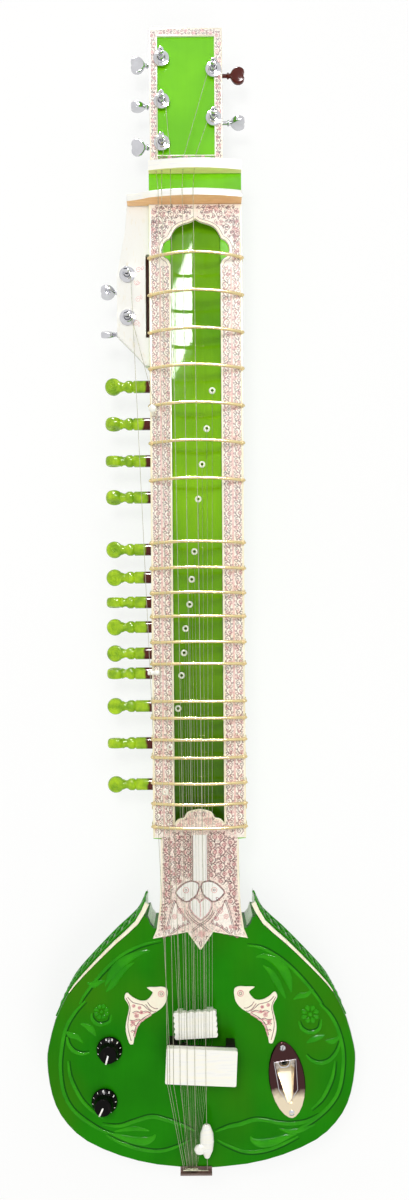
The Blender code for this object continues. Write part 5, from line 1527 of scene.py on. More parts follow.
@dataclass
class Machines(Assembly):
    """Seven machine heads: plates, worm housings, washers, posts, windings and buttons."""

    head_posts: Rows = (
        (-31.2, -55.5, -1), (-31.2, -95.4, -1), (-31.2, -135.9, -1), (18.3, -125.1, 1), (18.3, -78.9, 1),
    )
    side_posts: Rows = ((-65.1, 68.6, -1), (-65.1, 109.5, -1))
    head_face: float = 56.3
    side_face: float = 54
    head_axis: float = 29.95
    side_axis: float = 39.95
    worm_offset: float = 10.9
    button_turns: tuple[float, ...] = (20, 100, 0, 5, 80, 65, 115)

    def build(self) -> None:
        """Makes the machine heads."""
        groups = (
            ("gear_plate_left", self.head_posts[:3], self.head_face, self.head_axis, 1, 1),
            ("gear_plate_right", self.head_posts[3:], self.head_face, self.head_axis, 1, 4),
            ("gear_plate_side", self.side_posts, self.side_face, self.side_axis, -1, 6),
        )
        for node, places, face, axis, worm, first in groups:
            self.plate(node, places, face, axis, worm)
            for number, (x, down, side) in enumerate(places, first):
                self.post(number, (x, at(down)), face, axis, side)
                start = 12.5 if node == "gear_plate_side" else 16.5
                self.button(number, (x, at(down) + worm * self.worm_offset, axis), side, start)

    def plate(self, node: str, places: tuple, face: float, axis: float, worm: int) -> None:
        """One base plate with its housings, screws, bushes and washers.

        Args:
            node: The CAD node that it stands for.
            places: X, place and side of each machine head.
            face: Height of the surface under the washers.
            axis: Height of the worms' axes.
            worm: One where the worms lie towards the head end.
        """
        x = places[0][0]
        bottom, top = axis - 5.75, axis + 5.75
        near, far = 9.2, 15.8
        below, above = (near, far) if worm > 0 else (far, near)
        lowest = min(at(down) for _, down, _ in places) - below
        highest = max(at(down) for _, down, _ in places) + above
        parts = [block("base", (x - 8.8, lowest + 0.4, top - 1.1), (x + 8.8, highest - 0.4, top),
                       0.4)]
        ring = [
            (3.3, top - 1), (4.2, top - 1), (4.2, face + 0.3), (7.3, face + 0.3),
            (7.7, face + 0.8), (7.5, face + 1.5), (6, face + 2), (4.8, face + 2.1),
            (4.2, face + 3), (3.6, face + 3.1), (3.3, face + 2.6), (3.3, top - 1),
        ]
        for _, down, side in places:
            y = at(down)
            parts.append(block("housing", (x - 9, y - below, bottom), (x + 9, y + above, top - 1),
                               1.6))
            parts.append(move(lathe("bush", ring, 28), shift(x, y)))
            for end in (y - below + 2.2, y + above - 2.2):
                screw = lathe("screw", [(0, -0.9), (1.2, -0.7), (1.9, 0), (0, 0)], 12)
                parts.append(move(screw, shift(x - side * 5.8, end, bottom)))
        plate = shade(join(f"{node}_cast", parts), 35)
        self.place(plate, CHROME, BODY, node)

    def post(self, number: int, place: Place, face: float, axis: float, side: int) -> None:
        """One slotted post with its gear and the string wound on it.

        Args:
            number: Which machine head it is.
            place: Its X and Y.
            face: Height of the surface that it stands over.
            axis: Height of the worm's axis.
            side: Which side its button is on.
        """
        body = f"tuner_post_{number}"
        top = face + 14
        profile = [
            (0, axis - 3), (7, axis - 3), (7.4, axis - 2.4), (7.4, axis + 2.4),
            (7, axis + 3), (3, axis + 3), (3, face + 4), (2.2, face + 5.6),
            (2.1, face + 9.2), (2.9, face + 10.6), (3, top - 1), (2.6, top - 0.2),
            (2, top), (0, top),
        ]
        shaft = shade(lathe(f"post_{number}_turned", profile, 24), 35)
        slot = block(f"post_{number}_slot", (-4, -0.5, top - 4), (4, 0.5, top + 2), 0.1)
        carve(shaft, slot)
        turn = spin(80 + 17 * number)
        move(shaft, shift(*place) @ turn)
        self.place(shade(shaft, 35), CHROME, body, body)
        turns, steps = 4.5, 90
        run = []
        for i in range(steps + 1):
            share = i / steps
            angle = (0 if side > 0 else math.pi) - math.tau * turns * share
            run.append((place[0] + 2.5 * math.cos(angle), place[1] + 2.5 * math.sin(angle),
                        face + 7.2 - 2.1 * share))
        run.append((place[0], place[1], run[-1][2] - 0.3))
        self.place(wire(f"post_{number}_winding", [run], 0.22), STEEL_WIRE, body)

    def button(self, number: int, place: Point, side: int, start: float) -> None:
        """One kidney-shaped button with its collar and worm.

        Args:
            number: Which machine head it is.
            place: Where its axis starts.
            side: Which side it is on.
            start: How far out the button starts.
        """
        right = [
            (1.6, 0), (2.4, 1), (4.5, 2.2), (6.8, 4.5), (7.7, 7.2), (7.6, 10), (6.6, 12.4), (4.8, 13.9),
            (2.6, 14.3), (0.8, 13.6),
        ]
        outline = right + [(-a, b) for a, b in reversed(right)]
        wing = cut_out("wing", outline, -2.8, 2.8)
        apply(wing, "BEVEL", width=1.5 * MM, segments=4, limit_method="ANGLE", angle_limit=math.radians(50))
        for vertex in wing.data.vertices:
            vertex.co.z *= 1 - 0.3 * max(0, 1 - vertex.co.y / MM / 6)
        along = Matrix(((0, 1, 0, start * MM), (1, 0, 0, 0), (0, 0, -1, 0), (0, 0, 0, 1)))
        move(wing, spin(self.button_turns[number - 1], "X") @ along)
        stem = lathe("stem", [
            (0, -7.5), (3, -7.5), (3, 7), (1.8, 7.6), (1.8, start - 3),
            (2.8, start - 2.4), (3, start - 1.4), (2.2, start - 0.6), (1.7, start + 1.6),
            (0, start + 1.6),
        ], 20)
        move(stem, spin(90, "Y"))
        piece = shade(join(f"button_{number}_cast", [wing, stem]), 40)
        move(piece, shift(*place) @ sided(side))
        dark = number == 4
        body = f"tuner_button_{number}"
        self.place(piece, BUTTON_PLASTIC if dark else CHROME, body, body)


@dataclass
class Pegs(Assembly):
    """Thirteen lacquered pegs with thick round heads, collars and stained ends."""

    places: tuple[float, ...] = (
        170, 206.3, 242.3, 277.7, 328.5, 355.6, 379.8, 403.8, 429.4, 448.8, 480.7, 516.7, 556.8,
    )
    turns: tuple[float, ...] = (0, 80, 95, 70, 0, 15, 90, 10, 0, 100, 5, 90, 0)
    tips: tuple[float, ...] = (-17.7, -12.2, -7.4, -3.5, 0.6, 3.3, 5.5, 9.6, 11.2, 13.7, 17.3, 25.2, 29.9)
    height: float = 36
    head: float = 80.8

    def build(self) -> None:
        """Makes the pegs."""
        rim = [(8.2, 0), (7.9, 2.7), (7, 4.3), (5.6, 4.8), (4, 4.6), (0, 4.4)]
        coin = [(x, -z) for x, z in rim[:0:-1]] + rim
        head = lathe("peg_head", coin, 28)
        groove = wire("peg_scroll", [
            [(a, b, side * 4.55) for a, b in spiral((0, 0), 5.4, 0.8, 180, 1.9, 44)] for side in (-1, 1)
        ], 0.45, 1)
        head = join("peg_head", [head, groove])
        move(head, shift(-self.head, 0))
        for number, (down, turn, tip) in enumerate(zip(self.places, self.turns, self.tips), 1):
            profile = [
                (0, tip), (4.3, tip), (5, 44), (5.8, 44.8), (5.9, 60.5), (5.4, 61.2),
                (4.7, 61.9), (5.4, 62.7), (5.9, 63.6), (5.9, 66.8), (5.3, 68.2),
                (4.2, 69.6), (4, 71.2), (5.2, 73.8), (4, 77), (0, 78),
            ]
            stem = lathe("peg_stem", profile, 24)
            move(stem, spin(-90, "Y"))
            peg = shade(join(f"peg_{number:02d}_turned", [stem, copy_of(head, Matrix())]), 40)
            move(peg, shift(0, at(down), self.height) @ spin(turn, "X"))
            body = f"tarab_peg_{number:02d}"
            self.place(peg, PEG_FINISH, body, body)
        bpy.data.objects.remove(head)


class Bridges(Assembly):
    """The small scalloped jawari and the main jawari on its ebony base."""

    def build(self) -> None:
        """Makes both bridges."""
        small = self.slab((40.4, 25.4), 6, 5, 1.2)
        turn = shift(-5.1, at(776.7)) @ spin(3)
        top = 76.06
        plate = cut_out("small_plate", small, top - 5.2, top, 0.6)
        legs = [
            block("leg", (side * 14.2 - 3, -10.2, 58.3), (side * 14.2 + 3, 10.2, top - 4.6),
                  0.6) for side in (-1, 1)
        ]
        foot = block("foot", (-17.2, -4, 66), (17.2, 4, top - 4.8), 0.6)
        piece = shade(move(join("small_bridge_bone", [plate, *legs, foot]), turn), 35)
        self.place(piece, WHITE_BONE, BODY, "small_jawari")
        turn = shift(0, at(810.7)) @ spin(-2.7)
        top = 89.48
        corners = self.slab((65.3, 32.9), 1, 1, 1.5)
        table = cut_out("main_table", corners, top - 7.7, top, 0.5)
        lip = block("table_step", (-32.2, -16, top - 7.7), (32.2, 16, top - 4), 0.6)
        self.place(shade(move(join("main_bridge_bone", [table, lip]), turn), 35), WHITE_BONE, BODY,
                    "main_jawari_plate")
        high = top - 8
        beam = block("beam", (-31.7, -12.6, high - 5), (31.7, 15.7, high), 0.7)
        parts = [beam]
        for side in (-1, 1):
            middle = side * 26.9
            leg = block("leg", (middle - 4.2, -13.3, 58.3), (middle + 4.2, 16.3, high - 4.5), 0.8)
            parts.append(leg)
            brace = cut_out("brace", [(0, 0), (8.5, 0), (3.5, -3), (0.8, -8.2), (0, -8.5)],
                            -10, 12.5)
            move(brace, shift(middle - side * 4, 0, high - 4.8) @ sided(-side)
                 @ spin(90, "X"))
            parts.append(brace)
        self.place(shade(move(join("main_bridge_ebony", parts), turn), 35), EBONY_WOOD, BODY,
                    "main_bridge_base")

    @staticmethod
    def slab(size: Place, across: int, along: int, depth: float) -> Plan:
        """A plate's outline, with round lobes on three sides where there are several.

        Args:
            size: Its width and length.
            across: Lobes on the head edge.
            along: Lobes on each side.
            depth: How deep the notches are, or the corners' radius for a plain plate.

        Returns:
            The outline.
        """
        x, y = size[0] / 2, size[1] / 2
        if across == 1:
            outline = []
            for cx, cy, start in ((x, y, 0), (-x, y, 90), (-x, -y, 180), (x, -y, 270)):
                centre = (cx - math.copysign(depth, cx), cy - math.copysign(depth, cy))
                outline += arc_points(centre, depth, start, start + 90, 5)
            return outline
        outline = [(-x + depth, -y), (x - depth, -y)]
        for lobes, side in ((along, 1), (across, 0), (along, -1)):
            for i in range(lobes * 6):
                way = 2 * i / (lobes * 6) - 1
                dip = depth * (1 - abs(math.sin(math.pi * i / 6)))
                outline.append((side * (x - dip), side * way * y) if side else (-way * x, y - dip))
        return outline


@dataclass
class Controls(Assembly):
    """Two skirted knobs with white marks, the jack plate with its socket, and the back cover."""

    knobs: tuple[tuple[str, float, float, float], ...] = (
        ("volume_knob", -87, 805.5, -105), ("tone_knob", -92, 854.5, -115),
    )

    def build(self) -> None:
        """Makes the controls."""
        for node, x, down, pointer in self.knobs:
            self.knob(node, (x, at(down)), pointer)
        self.jack()
        self.refine("control_cover", KNOB_PLASTIC, 30, 0.5)

    def knob(self, node: str, place: Place, pointer: float) -> None:
        """One knob: ribbed grip, flared skirt, pointer and marks.

        Args:
            node: Its CAD node and body.
            place: Its X and Y.
            pointer: The way that it points in degrees.
        """
        profile = [
            (0, -7.7), (3, -7.7), (3, 1.3), (11.9, 1.3), (12.2, 1.6), (12.2, 3.1), (11.9, 3.6), (9.8, 6),
            (9, 7), (8.6, 14), (8.2, 15.7), (7.7, 16.2), (6, 16), (0, 15.8),
        ]
        body = lathe(f"{node}_moulded", profile, 72)
        for vertex in body.data.vertices:
            reach = math.hypot(vertex.co.x, vertex.co.y) / MM
            if 8 < reach < 9.2 and 6.5 < vertex.co.z / MM < 16:
                angle = math.atan2(vertex.co.y, vertex.co.x)
                rib = 1 - 0.035 * (0.5 + 0.5 * math.cos(24 * angle))
                vertex.co.x *= rib
                vertex.co.y *= rib
        home = shift(*place, FRONT_Z)
        self.place(move(shade(body, 40), home), KNOB_PLASTIC, node, node)
        parts = [block("pointer", (0.2, -0.75, 15.8), (7.6, 0.75, 16.2), 0.12)]
        parts.append(block("pointer_side", (8, -0.7, 8), (8.85, 0.7, 15.5), 0.12))
        for i in range(11):
            wide = 0.55 if i in (4, 5, 6) else 0.32
            tick = block("tick", (10.2 - wide, -wide, 0), (11.2 + wide, wide, 0.3), 0.08)
            tilt = shift(10.8, 0, 4.75) @ spin(48.8733, "Y") @ shift(-10.8, 0)
            move(tick, spin(30 + 30 * i) @ tilt)
            parts.append(tick)
        marks = join(f"{node}_marks", parts)
        move(marks, home @ spin(pointer))
        self.place(marks, MARKING, node)

    @staticmethod
    def in_cup(face: MeshPolygon) -> bool:
        """Tells whether a face lies in the jack plate's sunk cup.

        Args:
            face: A face of the plate.

        Returns:
            Whether it does.
        """
        x, y, z = face.center / MM
        inside = at(859) < y < at(815) and abs(x - 81.2 - 0.13 * (y - at(835.7))) < 10.8
        return inside and z < 59.7 and face.normal.z > -0.2

    def jack(self) -> None:
        """The boat-shaped jack plate with its raised rim, socket nut and screws."""
        plate = self.refine("jack_plate", JACK_CHROME, 28, 0.3)
        tint(plate, CUP_METAL.make(), self.in_cup)
        home = shift(81.2, at(835.7)) @ spin(7.6)
        nut = cut_out("nut", arc_points((0, 0), 6.8, 0, 300, 6), 0, 1.8, 0.3)
        ring = lathe("ring", [
            (3.3, 0), (8, 0), (8, 0.5), (6, 0.8), (4.7, 3), (3.8, 3.6), (3.3, 3), (3.3, 0),
        ], 28)
        hollow = lathe("hollow", [(0, -1), (3.3, -1), (3.3, 4), (0, 4)], 20)
        carve(nut, hollow)
        socket = shade(move(join("jack_socket_nut", [nut, ring]), home @ shift(0, 11, 41.3)), 30)
        self.place(socket, CHROME)
        rim = [(68.9, 818.6), (89.5, 815.6), (91.1, 844.4), (82.2, 857.9), (73.3, 844.4), (68.9, 818.6)]
        lip = wire("jack_cup_lip", [[(x, at(down), 60.2) for x, down in rim]], 0.5, 1)
        self.place(lip, CHROME)
        screws = []
        for y in (31.05, -31.05):
            head = lathe("screw", [(0, 0), (2.8, 0), (2.7, 0.5), (1.9, 1.2), (0, 1.4)], 20)
            carve(head, block("slot", (-3, -0.35, 0.7), (3, 0.35, 3), 0.05))
            move(head, home @ shift(0, y, 60.2) @ spin(34.377468 + 1.145916 * y))
            screws.append(shade(head, 30))
        self.place(join("jack_plate_screws", screws), CHROME)


@dataclass
class Heel(Assembly):
    """The engraved plate over the heel: two birds' heads, a heart, ribbons, wings and blossoms."""

    height: float = 59.5
    head: Plan = (
        (1.3, 652.7), (2.1, 648.8), (5.7, 647), (9.5, 646.9), (13.9, 648.3), (18.3, 651.6), (22.5, 656.5),
        (21.1, 659.8), (17.8, 663.1), (13.9, 665.3), (10.1, 664.7), (6.3, 662), (3, 658.2),
    )
    eye: Place = (13.4, 654.9)
    heart: Plan = (
        (0, 666.6), (-1.9, 663.6), (-5.4, 662), (-8.9, 663.3), (-10.6, 667.7), (-9.8, 673), (-6.7, 677.9),
        (-3, 681.2), (0.5, 683.6), (4.2, 681.2), (7.8, 677.9), (10.4, 673), (11.3, 667.7), (9.1, 663.3),
        (5.4, 662), (1.9, 663.6),
    )
    wing: Plan = (
        (24.4, 664.2), (28.2, 675.2), (30.9, 686.1), (34.2, 699.8), (26, 695.5), (18.3, 689.6), (9, 686.4),
        (13.9, 680.6), (20, 671.9),
    )
    ribbon: Plan = ((12.3, 674.6), (9.5, 679.5), (4.1, 684.5), (-2, 688.1), (-8, 692.7))
    side: Plan = (
        (37.2, 607.2), (37.2, 640), (38.5, 672), (41.5, 692), (45.2, 700.8), (12, 694.5), (0, 711.5),
    )
    band: Plan = ((-6.8, 602.5), (6.8, 602.5), (6.8, 646), (-6.8, 646))
    lobes: Plan = ((0, 578.5), (10.5, 581), (14, 586.5), (19.5, 588), (24, 592.8))

    def put(self, points: Plan, side: int, inwards: float = 0.0) -> Plan:
        """Places points of the left half on either side.

        Args:
            points: X and the distance below the nut.
            side: One for the left half as it is, minus one for its mirror image.
            inwards: How far the line is moved to its left.

        Returns:
            The points in plan.
        """
        line = [(x, at(down)) for x, down in points]
        return [(side * x, y) for x, y in (offset_line(line, inwards) if inwards else line)]

    def build(self) -> None:
        """Makes the plate, its cream edge and its engraving."""
        self.refine("heel_overlay", HEEL_CELLULOID, 30, 0.2)
        top = self.height + 0.15
        inlays = [self.put(self.head, side) for side in (-1, 1)]
        inlays += [self.put(self.heart, 1), [(x, at(down)) for x, down in self.band]]
        shapes = [flowing([*line, line[0]], 3)[:-1] if len(line) > 4 else line for line in inlays]
        pieces = [cut_out("inlay", shape, top - 0.4, top) for shape in shapes]
        self.place(join("heel_white_inlays", pieces), WHITE_CELLULOID)
        wings = [cut_out("inlay", self.put(self.wing, side), top - 0.4, top) for side in (-1, 1)]
        self.place(join("heel_wing_inlays", wings), CELLULOID)
        grey = Engraving("heel_scrolls", top, 0.3)
        rose = Engraving("heel_blossoms", top, 0.32)
        edging = []
        for side in (-1, 1):
            for inwards in (0, 0.8):
                grey.line(flowing(self.put(self.head, side, inwards), 3), True)
            rose.line(arc_points((side * self.eye[0], at(self.eye[1])), 2.6, 0, 330, 12), True)
            grey.line(arc_points((side * self.eye[0], at(self.eye[1])), 1, 0, 320, 8), True)
            self.birds_side(grey, rose, side)
            edging.append([(side * (x - 1 if x > 30 else x), at(down - 0.6), self.height)
                           for x, down in self.side])
            edging.append([(x, y, self.height) for x, y in flowing(self.put(self.lobes, side), 3)])
        grey.line(flowing(self.put(self.heart, 1), 3), True)
        rose.line(flowing(self.put(self.heart, 1, 0.9), 3), True)
        rose.line([(0, at(667.2)), (0.4, at(672)), (0.4, at(680.5))])
        for side in (-1, 1):
            for inwards in (0, 1.6):
                grey.line(flowing(self.put(self.ribbon, side, inwards), 4))
        rose.line(arc_points((1.4, at(696.5)), 3, 0, 340, 14), True)
        rose.flower((1.4, at(696.5)), 2, 6)
        for x, down, heading in ((-4.5, 698.5, 250), (6, 698.5, 290), (0, 703, 270)):
            grey.line(leaf((x, at(down)), 5.5, 2.2, heading, 0.1, 5), True)
        for off in (-6.9, 6.9):
            grey.line([(off, at(603)), (off, at(645.5))])
        grey.lay(ETCH)
        rose.lay(ETCH_ROSE)
        self.place(wire("heel_cream_edging", edging, 0.8, 1, 0.4, self.height), CREAM_EDGE)

    def birds_side(self, grey: Engraving, rose: Engraving, side: int) -> None:
        """Engraves one half: the scroll columns, the small arches, the wing and its blossoms.

        Args:
            grey: The grey lines.
            rose: The rose lines.
            side: Which half.
        """
        for x, width, low, high in (
            (12.5, 9.4, 644, 601), (21.5, 9, 650, 601), (30.5, 9.4, 669, 606), (35, 5, 695, 668),
        ):
            Vine(width, 7).run(grey, side * x, at(low), at(high))
            blooms = int((low - high) / 6.8)
            for i in range(blooms):
                y = at(low) + (i + 0.5) * (low - high) / blooms
                rose.flower((side * (x + (2 if i % 2 else -2)), y), 1.8, 5, 25 * i)
        for i in range(20):
            y = at(603 + 2.2 * i)
            grey.line(arc_points((side * 7.7, y), 1.1, -80 if side > 0 else 100, 80 if side > 0 else 260, 6))
        for radius, x, down in ((4, 8, 590), (3, 18.5, 594.5), (2.6, 14, 598.5)):
            rose.line(spiral((side * x, at(down)), radius, 0.6, 90 + 90 * side, -1.7 * side, 22))
        for x, down, heading in (
            (3.5, 585, 80), (12.5, 588, 60), (22, 596, 40), (4.5, 596.5, 200), (32, 670, 280),
            (15, 662, 320),
        ):
            turn = heading if side > 0 else 180 - heading
            grey.line(leaf((side * x, at(down)), 4.8, 2, turn, 0.1, 5), True)
        for inwards in (0, -1.2):
            grey.line(self.put(self.wing, side, inwards), True)
        for x, down, size in ((19, 674.5, 2.7), (24.5, 680, 2.3), (15.5, 682, 2), (29, 690, 1.7)):
            rose.flower((side * x, at(down)), size, 6, 15)
        for i in range(5):
            x, down = 30 - 4.5 * i, 696.5 - 2.2 * i
            grey.line(leaf((side * x, at(down - 0.6)), 4, 1.6, 100 if side > 0 else 80, 0.1, 4), True)
        for i in range(4):
            x = 33 - 6 * i
            grey.line(leaf((side * x, at(699 - 1.6 * i)), 3.5, 1.3, 200 if side < 0 else -20, 0, 4), True)


@dataclass
class Headstock(Assembly):
    """The engraved frame round the headstock's green field."""

    left: float = -42.7
    right: float = 26.7
    low: float = 416.7
    high: float = 545.1
    width: float = 7.6
    height: float = 56.3

    def build(self) -> None:
        """Makes the frame, its edges and its engraving."""
        self.refine("headstock_border", CELLULOID, 30, 0.2)
        grey = Engraving("head_scrolls", self.height, 0.27)
        rose = Engraving("head_blossoms", self.height, 0.34)
        half = self.width / 2
        for x in (self.left + half, self.right - half):
            Vine(self.width - 1.6, 7.2).run(grey, x, self.low + 3, self.high - half)
            for i in range(15):
                y = self.low + 8 + i * 8.1
                rose.flower((x + (1.4 if i % 2 else -1.4), y), 1.7, 5, 30 * i)
        for y in (self.high - half, self.low + half):
            Vine(self.width - 1.6, 7.2).run(grey, y, self.left + self.width, self.right - self.width, True)
            for i in range(7):
                rose.flower((self.left + 11 + i * 7.9, y + (1.2 if i % 2 else -1.2)), 1.7, 5, 30 * i)
        left, right, low, high = self.left, self.right, self.low, self.high
        corners = ((left, low), (right, low), (right, high), (left, high))
        runs = []
        for inset in (0.8, self.width - 0.6):
            run = [(x + math.copysign(inset, -8 - x), y + math.copysign(inset, 480 - y), self.height)
                   for x, y in corners]
            runs.append([*run, run[0]])
        self.place(wire("head_cream_edging", runs, 0.5, 1, 0.4, self.height), CREAM_EDGE)
        grey.lay(ETCH)
        rose.lay(ETCH_ROSE)


@dataclass
class Birds(Assembly):
    """The two inlaid birds: smooth plates with a ringed eye, collar lines and a scrolled tail."""

    eye: Place = (37.6, 753.1)
    height: float = 59.5
    collars: tuple[Plan, ...] = (
        ((-12.9, -7.9), (-10.3, -11.4), (-6.3, -13.8), (-3.1, -13.8)),
        ((-14.8, -9.7), (-11.6, -14), (-7.6, -16.9), (-5, -16.6)),
        ((-31.8, -2.9), (-27.4, -7.5), (-22.6, -9.2), (-17.3, -10.5), (-13.8, -13.6), (-9.4, -17.1)),
        ((-33.5, -3.5), (-30.5, -9.2), (-29.6, -14.5), (-30.9, -21.5), (-31.8, -29.4), (-30.9, -36.4),
         (-28.7, -44.3)),
    )
    tail: tuple[Plan, ...] = (
        ((-27.4, -17.6), (-23.4, -16.2), (-19.5, -17.6), (-14.7, -16.2), (-10.3, -17.6)),
        ((-30, -24.6), (-26.1, -25), (-22.1, -23.7), (-19.1, -24.6), (-16.4, -22.4)),
        ((-29.6, -29.4), (-27, -28.1), (-24.3, -29.9), (-21.7, -27.7)),
        ((-29.1, -35.6), (-27.4, -34.2), (-25.6, -35.6), (-24.8, -33.4)),
        ((-10.3, -18.9), (-16.4, -22.4), (-21.7, -26.8), (-24.8, -32.9), (-26.5, -39.9)),
    )
    blooms: Rows = (
        (-26.2, -11.2, 1.4), (-20.6, -13, 1.4), (-23.5, -20.5, 2), (-19, -17, 1.3), (-27, -27, 1.8),
    )

    def put(self, points: Plan, side: int) -> Plan:
        """Places points that are measured from the left bird's eye.

        Args:
            points: The points.
            side: One for the left bird, minus one for its mirror image.

        Returns:
            The points in plan.
        """
        return [(side * (x - self.eye[0]), at(self.eye[1]) + y) for x, y in points]

    def build(self) -> None:
        """Makes both birds."""
        for node, side in (("bird_left", 1), ("bird_right", -1)):
            self.refine(node, BIRD_CELLULOID, 50, 0.3)
            grey = Engraving(f"{node}_lines", self.height, 0.34)
            rose = Engraving(f"{node}_tint", self.height, 0.48)
            home = self.put([(0, 0)], side)[0]
            rose.line(arc_points(home, 2.7, 0, 335, 16), True)
            grey.line(arc_points(home, 1.2, 0, 330, 10), True)
            for points in self.collars:
                grey.line(self.put(flowing(points, 4), side))
            for points in self.tail:
                grey.line(self.put(flowing(points, 4), side))
                rose.line(self.put([(x + 0.9, y - 1.1) for x, y in flowing(points, 3)], side))
            for x, y, size in self.blooms:
                rose.flower(self.put([(x, y)], side)[0], size, 5)
                grey.line(self.put(arc_points((x, y), size * 0.4, 0, 320, 6), side), True)
            grey.lay(ETCH)
            rose.lay(ETCH_ROSE)


@dataclass
class Body(Assembly):
    """The carved body: smooth slab and front, cream bindings, relief on the front and both shoulders."""

    leaves: tuple[Rows, ...] = (
        ((-48, 712.6, 0.12), (-56.5, 714.5, 0.45), (-67, 718.8, 0.75), (-76.5, 725.5, 1),
         (-84.1, 734, 0.85), (-88.8, 741.6, 0.35), (-90.7, 745.4, 0.1)),
        ((-63.2, 723.6, 0.1), (-70.8, 728.3, 0.5), (-78.4, 735.9, 0.75), (-84.1, 744.5, 0.6),
         (-89.8, 751.1, 0.15)),
        ((-90.7, 740.7, 0.1), (-96.4, 742.1, 0.45), (-102.1, 744.5, 0.6), (-107.8, 742.6, 0.15)),
        ((-114.5, 781.5, 0.12), (-108.8, 783.4, 0.5), (-104, 787.2, 0.6), (-100.2, 792.9, 0.15)),
        ((-128.7, 788.6, 0.15), (-124, 792, 0.55), (-118.3, 793.8, 0.5), (-112.6, 799.5, 0.12)),
        ((52.7, 719.3, 0.12), (60.3, 718.3, 0.5), (69.8, 722.1, 0.85), (77.4, 729.2, 1),
         (82.2, 738.8, 0.85), (85, 748.3, 0.4), (86, 753, 0.1)),
        ((59.4, 727.3, 0.1), (66, 733, 0.5), (71.7, 741.6, 0.7), (76.5, 751.1, 0.5), (80.3, 758.7, 0.12)),
        ((87.9, 759.7, 0.12), (94.5, 756.3, 0.55), (100.2, 755.4, 0.5), (106.9, 750.2, 0.12)),
        ((100.2, 801, 0.12), (105.9, 798.1, 0.55), (112.6, 795.7, 0.45), (117.3, 793.8, 0.1)),
        ((118.3, 799.5, 0.12), (124, 800, 0.55), (128.7, 797.6, 0.4), (133.5, 793.8, 0.1)),
        ((-87.9, 886, 0.12), (-77.4, 888.9, 0.5), (-66, 892.2, 0.75), (-54.6, 893.6, 0.8),
         (-47, 890.8, 0.5), (-44.2, 887, 0.12)),
        ((-83.1, 884.1, 0.1), (-71.7, 882.2, 0.4), (-60.3, 881.7, 0.45), (-49.9, 883.6, 0.12)),
        ((89.8, 887.4, 0.12), (79.3, 890.8, 0.5), (67.9, 895, 0.75), (56.5, 896.4, 0.8), (48.9, 893.6, 0.5),
         (46.1, 889.8, 0.12)),
        ((107.8, 878.4, 0.1), (96.4, 883.1, 0.4), (85, 885.5, 0.45), (73.6, 882.7, 0.12)),
    )
    lines: tuple[Rows, ...] = (
        ((-127.8, 793.8, 0.5), (-125.9, 801.4, 1), (-121.1, 807.2, 1.1), (-113.5, 810, 0.9),
         (-105.9, 809.1, 0.3)),
        ((99.3, 812.9, 0.4), (105, 818.1, 0.9), (113.5, 820.5, 1.1), (122.1, 817.6, 1.1), (128.7, 810, 0.9),
         (132.5, 800.5, 0.5)),
        ((-109.7, 759.7, 0.4), (-120.2, 771.1, 0.9), (-128.7, 786.3, 1), (-133, 807.2, 1), (-134, 826.1, 1),
         (-131.1, 846.1, 1), (-124, 860.8, 1), (-112.6, 871.8, 1), (-95.5, 882.7, 0.8), (-83.1, 887, 0.3)),
        ((-126.8, 816.7, 0.4), (-124.9, 830.9, 0.9), (-119.2, 844.7, 1), (-112.6, 855.6, 1),
         (-104, 864.1, 0.9), (-93.6, 871.8, 0.4)),
        ((112.6, 764.4, 0.4), (122.1, 773.9, 0.9), (129.7, 788.2, 1), (134.4, 807.2, 1), (134.4, 826.1, 1),
         (130.6, 846.1, 1), (122.1, 860.3, 1), (109.7, 871.8, 1), (95.5, 881.2, 0.8), (84.1, 887, 0.3)),
        ((126.8, 818.5, 0.4), (124.9, 831.8, 0.9), (120.2, 844.2, 1), (113.5, 855.6, 0.9),
         (104, 864.1, 0.4)),
        ((-94.5, 877.5, 0.3), (-78.4, 878.9, 1), (-64.1, 874.6, 1.1), (-47.5, 870.3, 1.2),
         (-32.8, 873.7, 1.1), (-16.6, 879.4, 1), (-7.1, 884.1, 0.3)),
        ((12.8, 885.1, 0.3), (25.2, 880.3, 1), (36.6, 877.9, 1.2), (48.9, 874.1, 1.2), (59.4, 874.1, 1.1),
         (72.7, 877, 1.1), (85, 877.9, 1.2), (98.3, 876, 1), (111.6, 869.9, 0.4)),
        ((-90.7, 887.9, 0.3), (-75.5, 895.5, 0.9), (-58.4, 901.2, 1), (-39.4, 903.1, 0.9),
         (-22.3, 898.3, 0.7), (-10.9, 892.6, 0.3)),
        ((91.7, 889.8, 0.3), (76.5, 897.4, 0.9), (59.4, 903.1, 1), (41.3, 904.1, 0.9), (25.2, 898.3, 0.7),
         (14.7, 892.6, 0.3)),
        ((-37.5, 702.6, 0.3), (-56.5, 707.4, 0.8), (-75.5, 716.9, 0.9), (-94.5, 734, 0.9),
         (-109.7, 753, 0.8), (-115.4, 762.5, 0.3)),
        ((44.2, 708.4, 0.3), (59.4, 711.2, 0.8), (79.3, 723.6, 0.9), (97.4, 741.6, 0.9),
         (110.7, 758.7, 0.8), (115.4, 766.3, 0.3)),
        ((-104, 771.1, 0.3), (-103.6, 776.8, 0.9), (-99.3, 781.5, 1.1), (-93.6, 782.5, 1.1),
         (-86.9, 779.6, 0.8), (-85, 773, 0.3)),
        ((92.6, 780.6, 0.3), (95.5, 787.2, 0.9), (101.2, 791, 1.1), (106.9, 791, 1.1), (112.6, 787.2, 0.8),
         (114.5, 778.7, 0.3)),
    )
    rosettes: Rows = ((-94.5, 770.1, 7.6, 8), (103.6, 773.9, 9, 8))
    petal: Rows = ((0.34, 0.15), (0.48, 0.62), (0.64, 0.95), (0.8, 1), (0.92, 0.75), (1, 0.2))
    leaf_radius: float = 5
    line_radius: float = 1.7
    wall: Plan = (
        (52.7, 666.9), (62, 684.9), (82.5, 704), (103, 724.9), (120.9, 744.8), (129.7, 759.1),
        (138.7, 778.1),
    )

